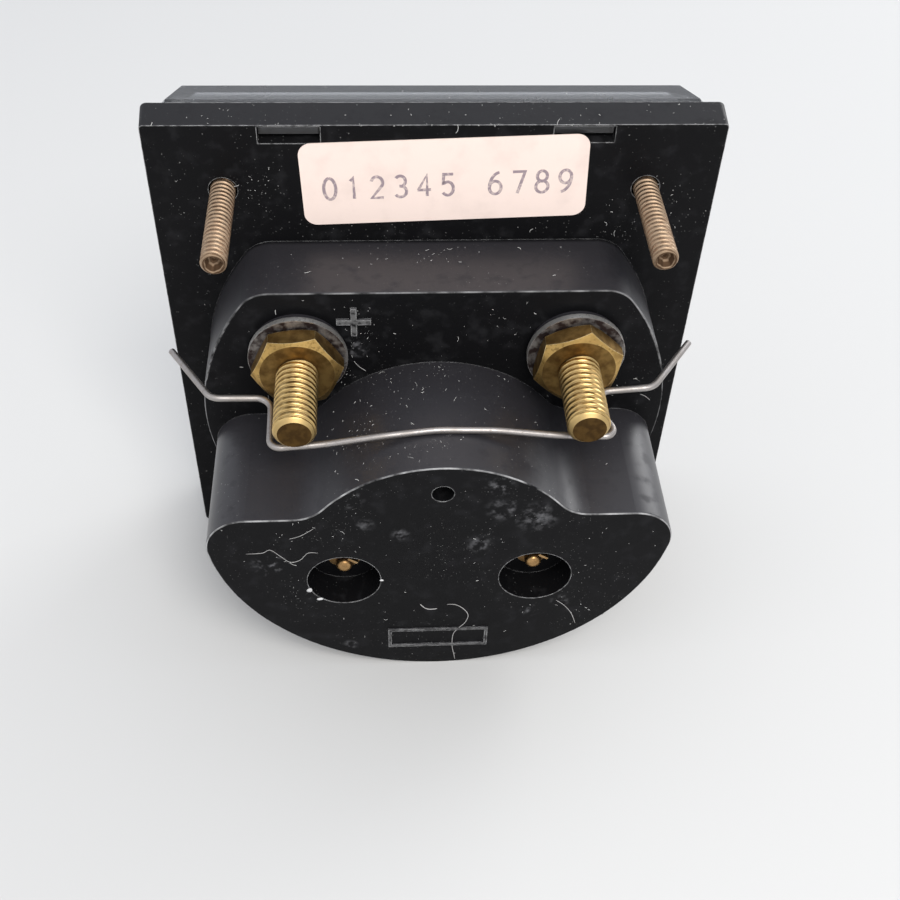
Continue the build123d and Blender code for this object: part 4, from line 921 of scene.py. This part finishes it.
dust_faces = {
    "flange": (lambda u, v: ((u, 0.0, v), (0, 1, 0)), on_flange, (-31, 31, -31, 31), 90,
               [(20.5, 24.5, 1.2, 14), (-22.0, 17.5, 2.4, 34), (-12.0, 18.3, 2.0, 10),
                (-25.5, 20.0, 1.5, 12)]),
    "flange_top": (lambda u, v: ((u, v, 32.05 - v * 0.0857), (0, 0, 1)), None, (-31, 31, -3.9, -0.2), 26,
                   [(24.0, -0.3, 1.2, 10), (-25.0, -2.0, 1.5, 8)]),
    "flange_edge": (lambda u, v: ((u, 0.01 - v, 32.0 + v), (0, 0.7, 0.7)), None, (-31, 31, 0.0, 0.1), 30,
                    [(25.0, 0.05, 1.2, 12), (17.0, 0.05, 3.0, 10), (8.0, 0.05, 3.0, 8),
                     (-28.0, 0.05, 1.0, 6)]),
    "step": (lambda u, v: ((u, STEP_BACK, v), (0, 1, 0)), on_step, (-26, 26, -1.5, 16), 60,
             [(9.8, 13.0, 1.3, 22), (9.4, 9.0, 1.4, 24), (9.6, 4.0, 1.6, 26), (-8.0, 11.0, 2.5, 14),
              (-24.5, 3.0, 1.0, 8)]),
    "step_top": (lambda u, v: ((u, v, 16.8), (0, 0, 1)), None, (-17, 17, 0.3, 9.3), 34,
                 [(0.5, 3.0, 1.2, 8)]),
    "dome": (on_dome, None, (-15, 15, 9.9, 26.4), 90, [(9.0, 19.0, 3.0, 30), (3.0, 13.0, 3.0, 14)]),
    "shelf": (lambda u, v: ((u, v, STEP_CENTRE), (0, 0, 1)), lambda u, v: abs(u) > 18.5,
              (-22, 22, 10, 26), 40, []),
    "barrel": (lambda u, v: ((u, BARREL_BACK, v), (0, 1, 0)), on_barrel, (-26, 26, -29, 6), 110,
               [(16.0, -4.0, 3.0, 14), (-16.0, -19.0, 2.0, 10)]),
}


def strand_points(face, rng, u, v):
    """Four points of a strand on a face: heading h + b t, step L / 3, laid on the face and lifted off it."""
    heading, bend = rng.uniform(0, 2 * np.pi), rng.uniform(-2.2, 2.2)
    stride = rng.choice([0.02, 0.045, 0.1, 0.22], p=[0.4, 0.38, 0.17, 0.05]) * rng.uniform(0.7, 1.3)
    points = []
    for k in range(4):
        spot, out = face(u, v)
        points.append((np.array(spot) + 0.028 * np.array(out), np.array(out, float)))
        u += stride * math.cos(heading + bend * k / 3)
        v += stride * math.sin(heading + bend * k / 3)
    return points


def scatter_dust(seed):
    """All strands in one mesh: square section of half diagonal r across each path, r from 0.014 to 0.036."""
    rng = np.random.default_rng(seed)
    vertices, faces = [], []
    for face, allowed, (u0, u1, v0, v1), count, clusters in dust_faces.values():
        spots = [(rng.uniform(u0, u1), rng.uniform(v0, v1)) for _ in range(count)]
        for cu, cv, spread, number in clusters:
            spots += [(cu + rng.normal(0, spread), cv + rng.normal(0, spread)) for _ in range(number)]
        for u, v in spots:
            if not (u0 <= u <= u1 and v0 <= v <= v1) or (allowed and not allowed(u, v)):
                continue
            points = strand_points(face, rng, u, v)
            along = points[-1][0] - points[0][0]
            along /= np.linalg.norm(along)
            radius = rng.uniform(0.014, 0.036)
            first = len(vertices)
            for p, out in points:
                side = np.cross(along, out)
                vertices += [p + radius * d for d in (side, out, -side, -out)]
            for k in range(3):
                a = first + 4 * k
                faces += [(a + j, a + (j + 1) % 4, a + 4 + (j + 1) % 4, a + 4 + j) for j in range(4)]
            faces += [(first + 3, first + 2, first + 1, first), tuple(first + 12 + j for j in range(4))]
    return vertices, faces


vertices, faces = scatter_dust(11)
dust_finish = plain_finish("dust_fibres", (0.55, 0.55, 0.53), 0.85)
closed_mesh("dust_fibres", vertices, faces, dust_finish, "case", smooth=False)

# Studio: pale floor that the flange's lower edge and the barrel's lower rim stand on, soft light
FRONT_FOOT = (-4.1, -32.4015)
REAR_FOOT = (26.55, -30.4)
lean = math.atan2(REAR_FOOT[1] - FRONT_FOOT[1], REAR_FOOT[0] - FRONT_FOOT[0])
floor_mesh = bpy.data.meshes.new("floor")
half = 1500.0
rise = half * math.tan(lean)
base = FRONT_FOOT[1] - FRONT_FOOT[0] * math.tan(lean) - 0.03
floor_mesh.from_pydata(
    [(-half * MM, -half * MM, (base - rise) * MM), (half * MM, -half * MM, (base - rise) * MM),
     (half * MM, half * MM, (base + rise) * MM), (-half * MM, half * MM, (base + rise) * MM)],
    [], [(0, 1, 2, 3)],
)
floor = bpy.data.objects.new("floor", floor_mesh)
floor_mesh.materials.append(finish_of("floor", (0.62, 0.62, 0.61), 0.8)[0])
bpy.context.scene.collection.objects.link(floor)

world = bpy.data.worlds.new("studio")
world.use_nodes = True
world.node_tree.nodes["Background"].inputs["Color"].default_value = (0.9, 0.93, 1.0, 1.0)
world.node_tree.nodes["Background"].inputs["Strength"].default_value = 0.8
bpy.context.scene.world = world


def soft_light(name, place, target, size, power, colour):
    """Square area light in metres, aimed at a point."""
    data = bpy.data.lights.new(name, "AREA")
    data.size = size
    data.energy = power
    data.color = colour
    made = bpy.data.objects.new(name, data)
    bpy.context.scene.collection.objects.link(made)
    back = np.array(place, float) - np.array(target, float)
    back /= np.linalg.norm(back)
    side = np.cross((0.0, 0.0, 1.0), back)
    side /= np.linalg.norm(side)
    top = np.cross(back, side)
    made.matrix_world = Matrix([[side[i], top[i], back[i], place[i]] for i in range(3)] + [[0, 0, 0, 1]])
    made.visible_camera = False
    return made


soft_light("light_front", (-0.55, -0.5, 0.25), (0, 0, 0), 0.4, 2.2, (1.0, 1.0, 1.0))
soft_light("light_behind", (-0.10, -0.42, 0.50), (0, 0.01, 0), 0.45, 0.25, (0.92, 0.94, 1.0))
soft_light("light_over", (-0.12, 0.45, 0.58), (0, 0.01, 0), 0.35, 4.2, (1.0, 0.97, 0.93))
soft_light("light_left", (0.6, 0.3, 0.35), (0, 0.01, 0), 0.4, 0.4, (1.0, 1.0, 1.0))

bpy.context.scene.view_settings.view_transform = "Standard"
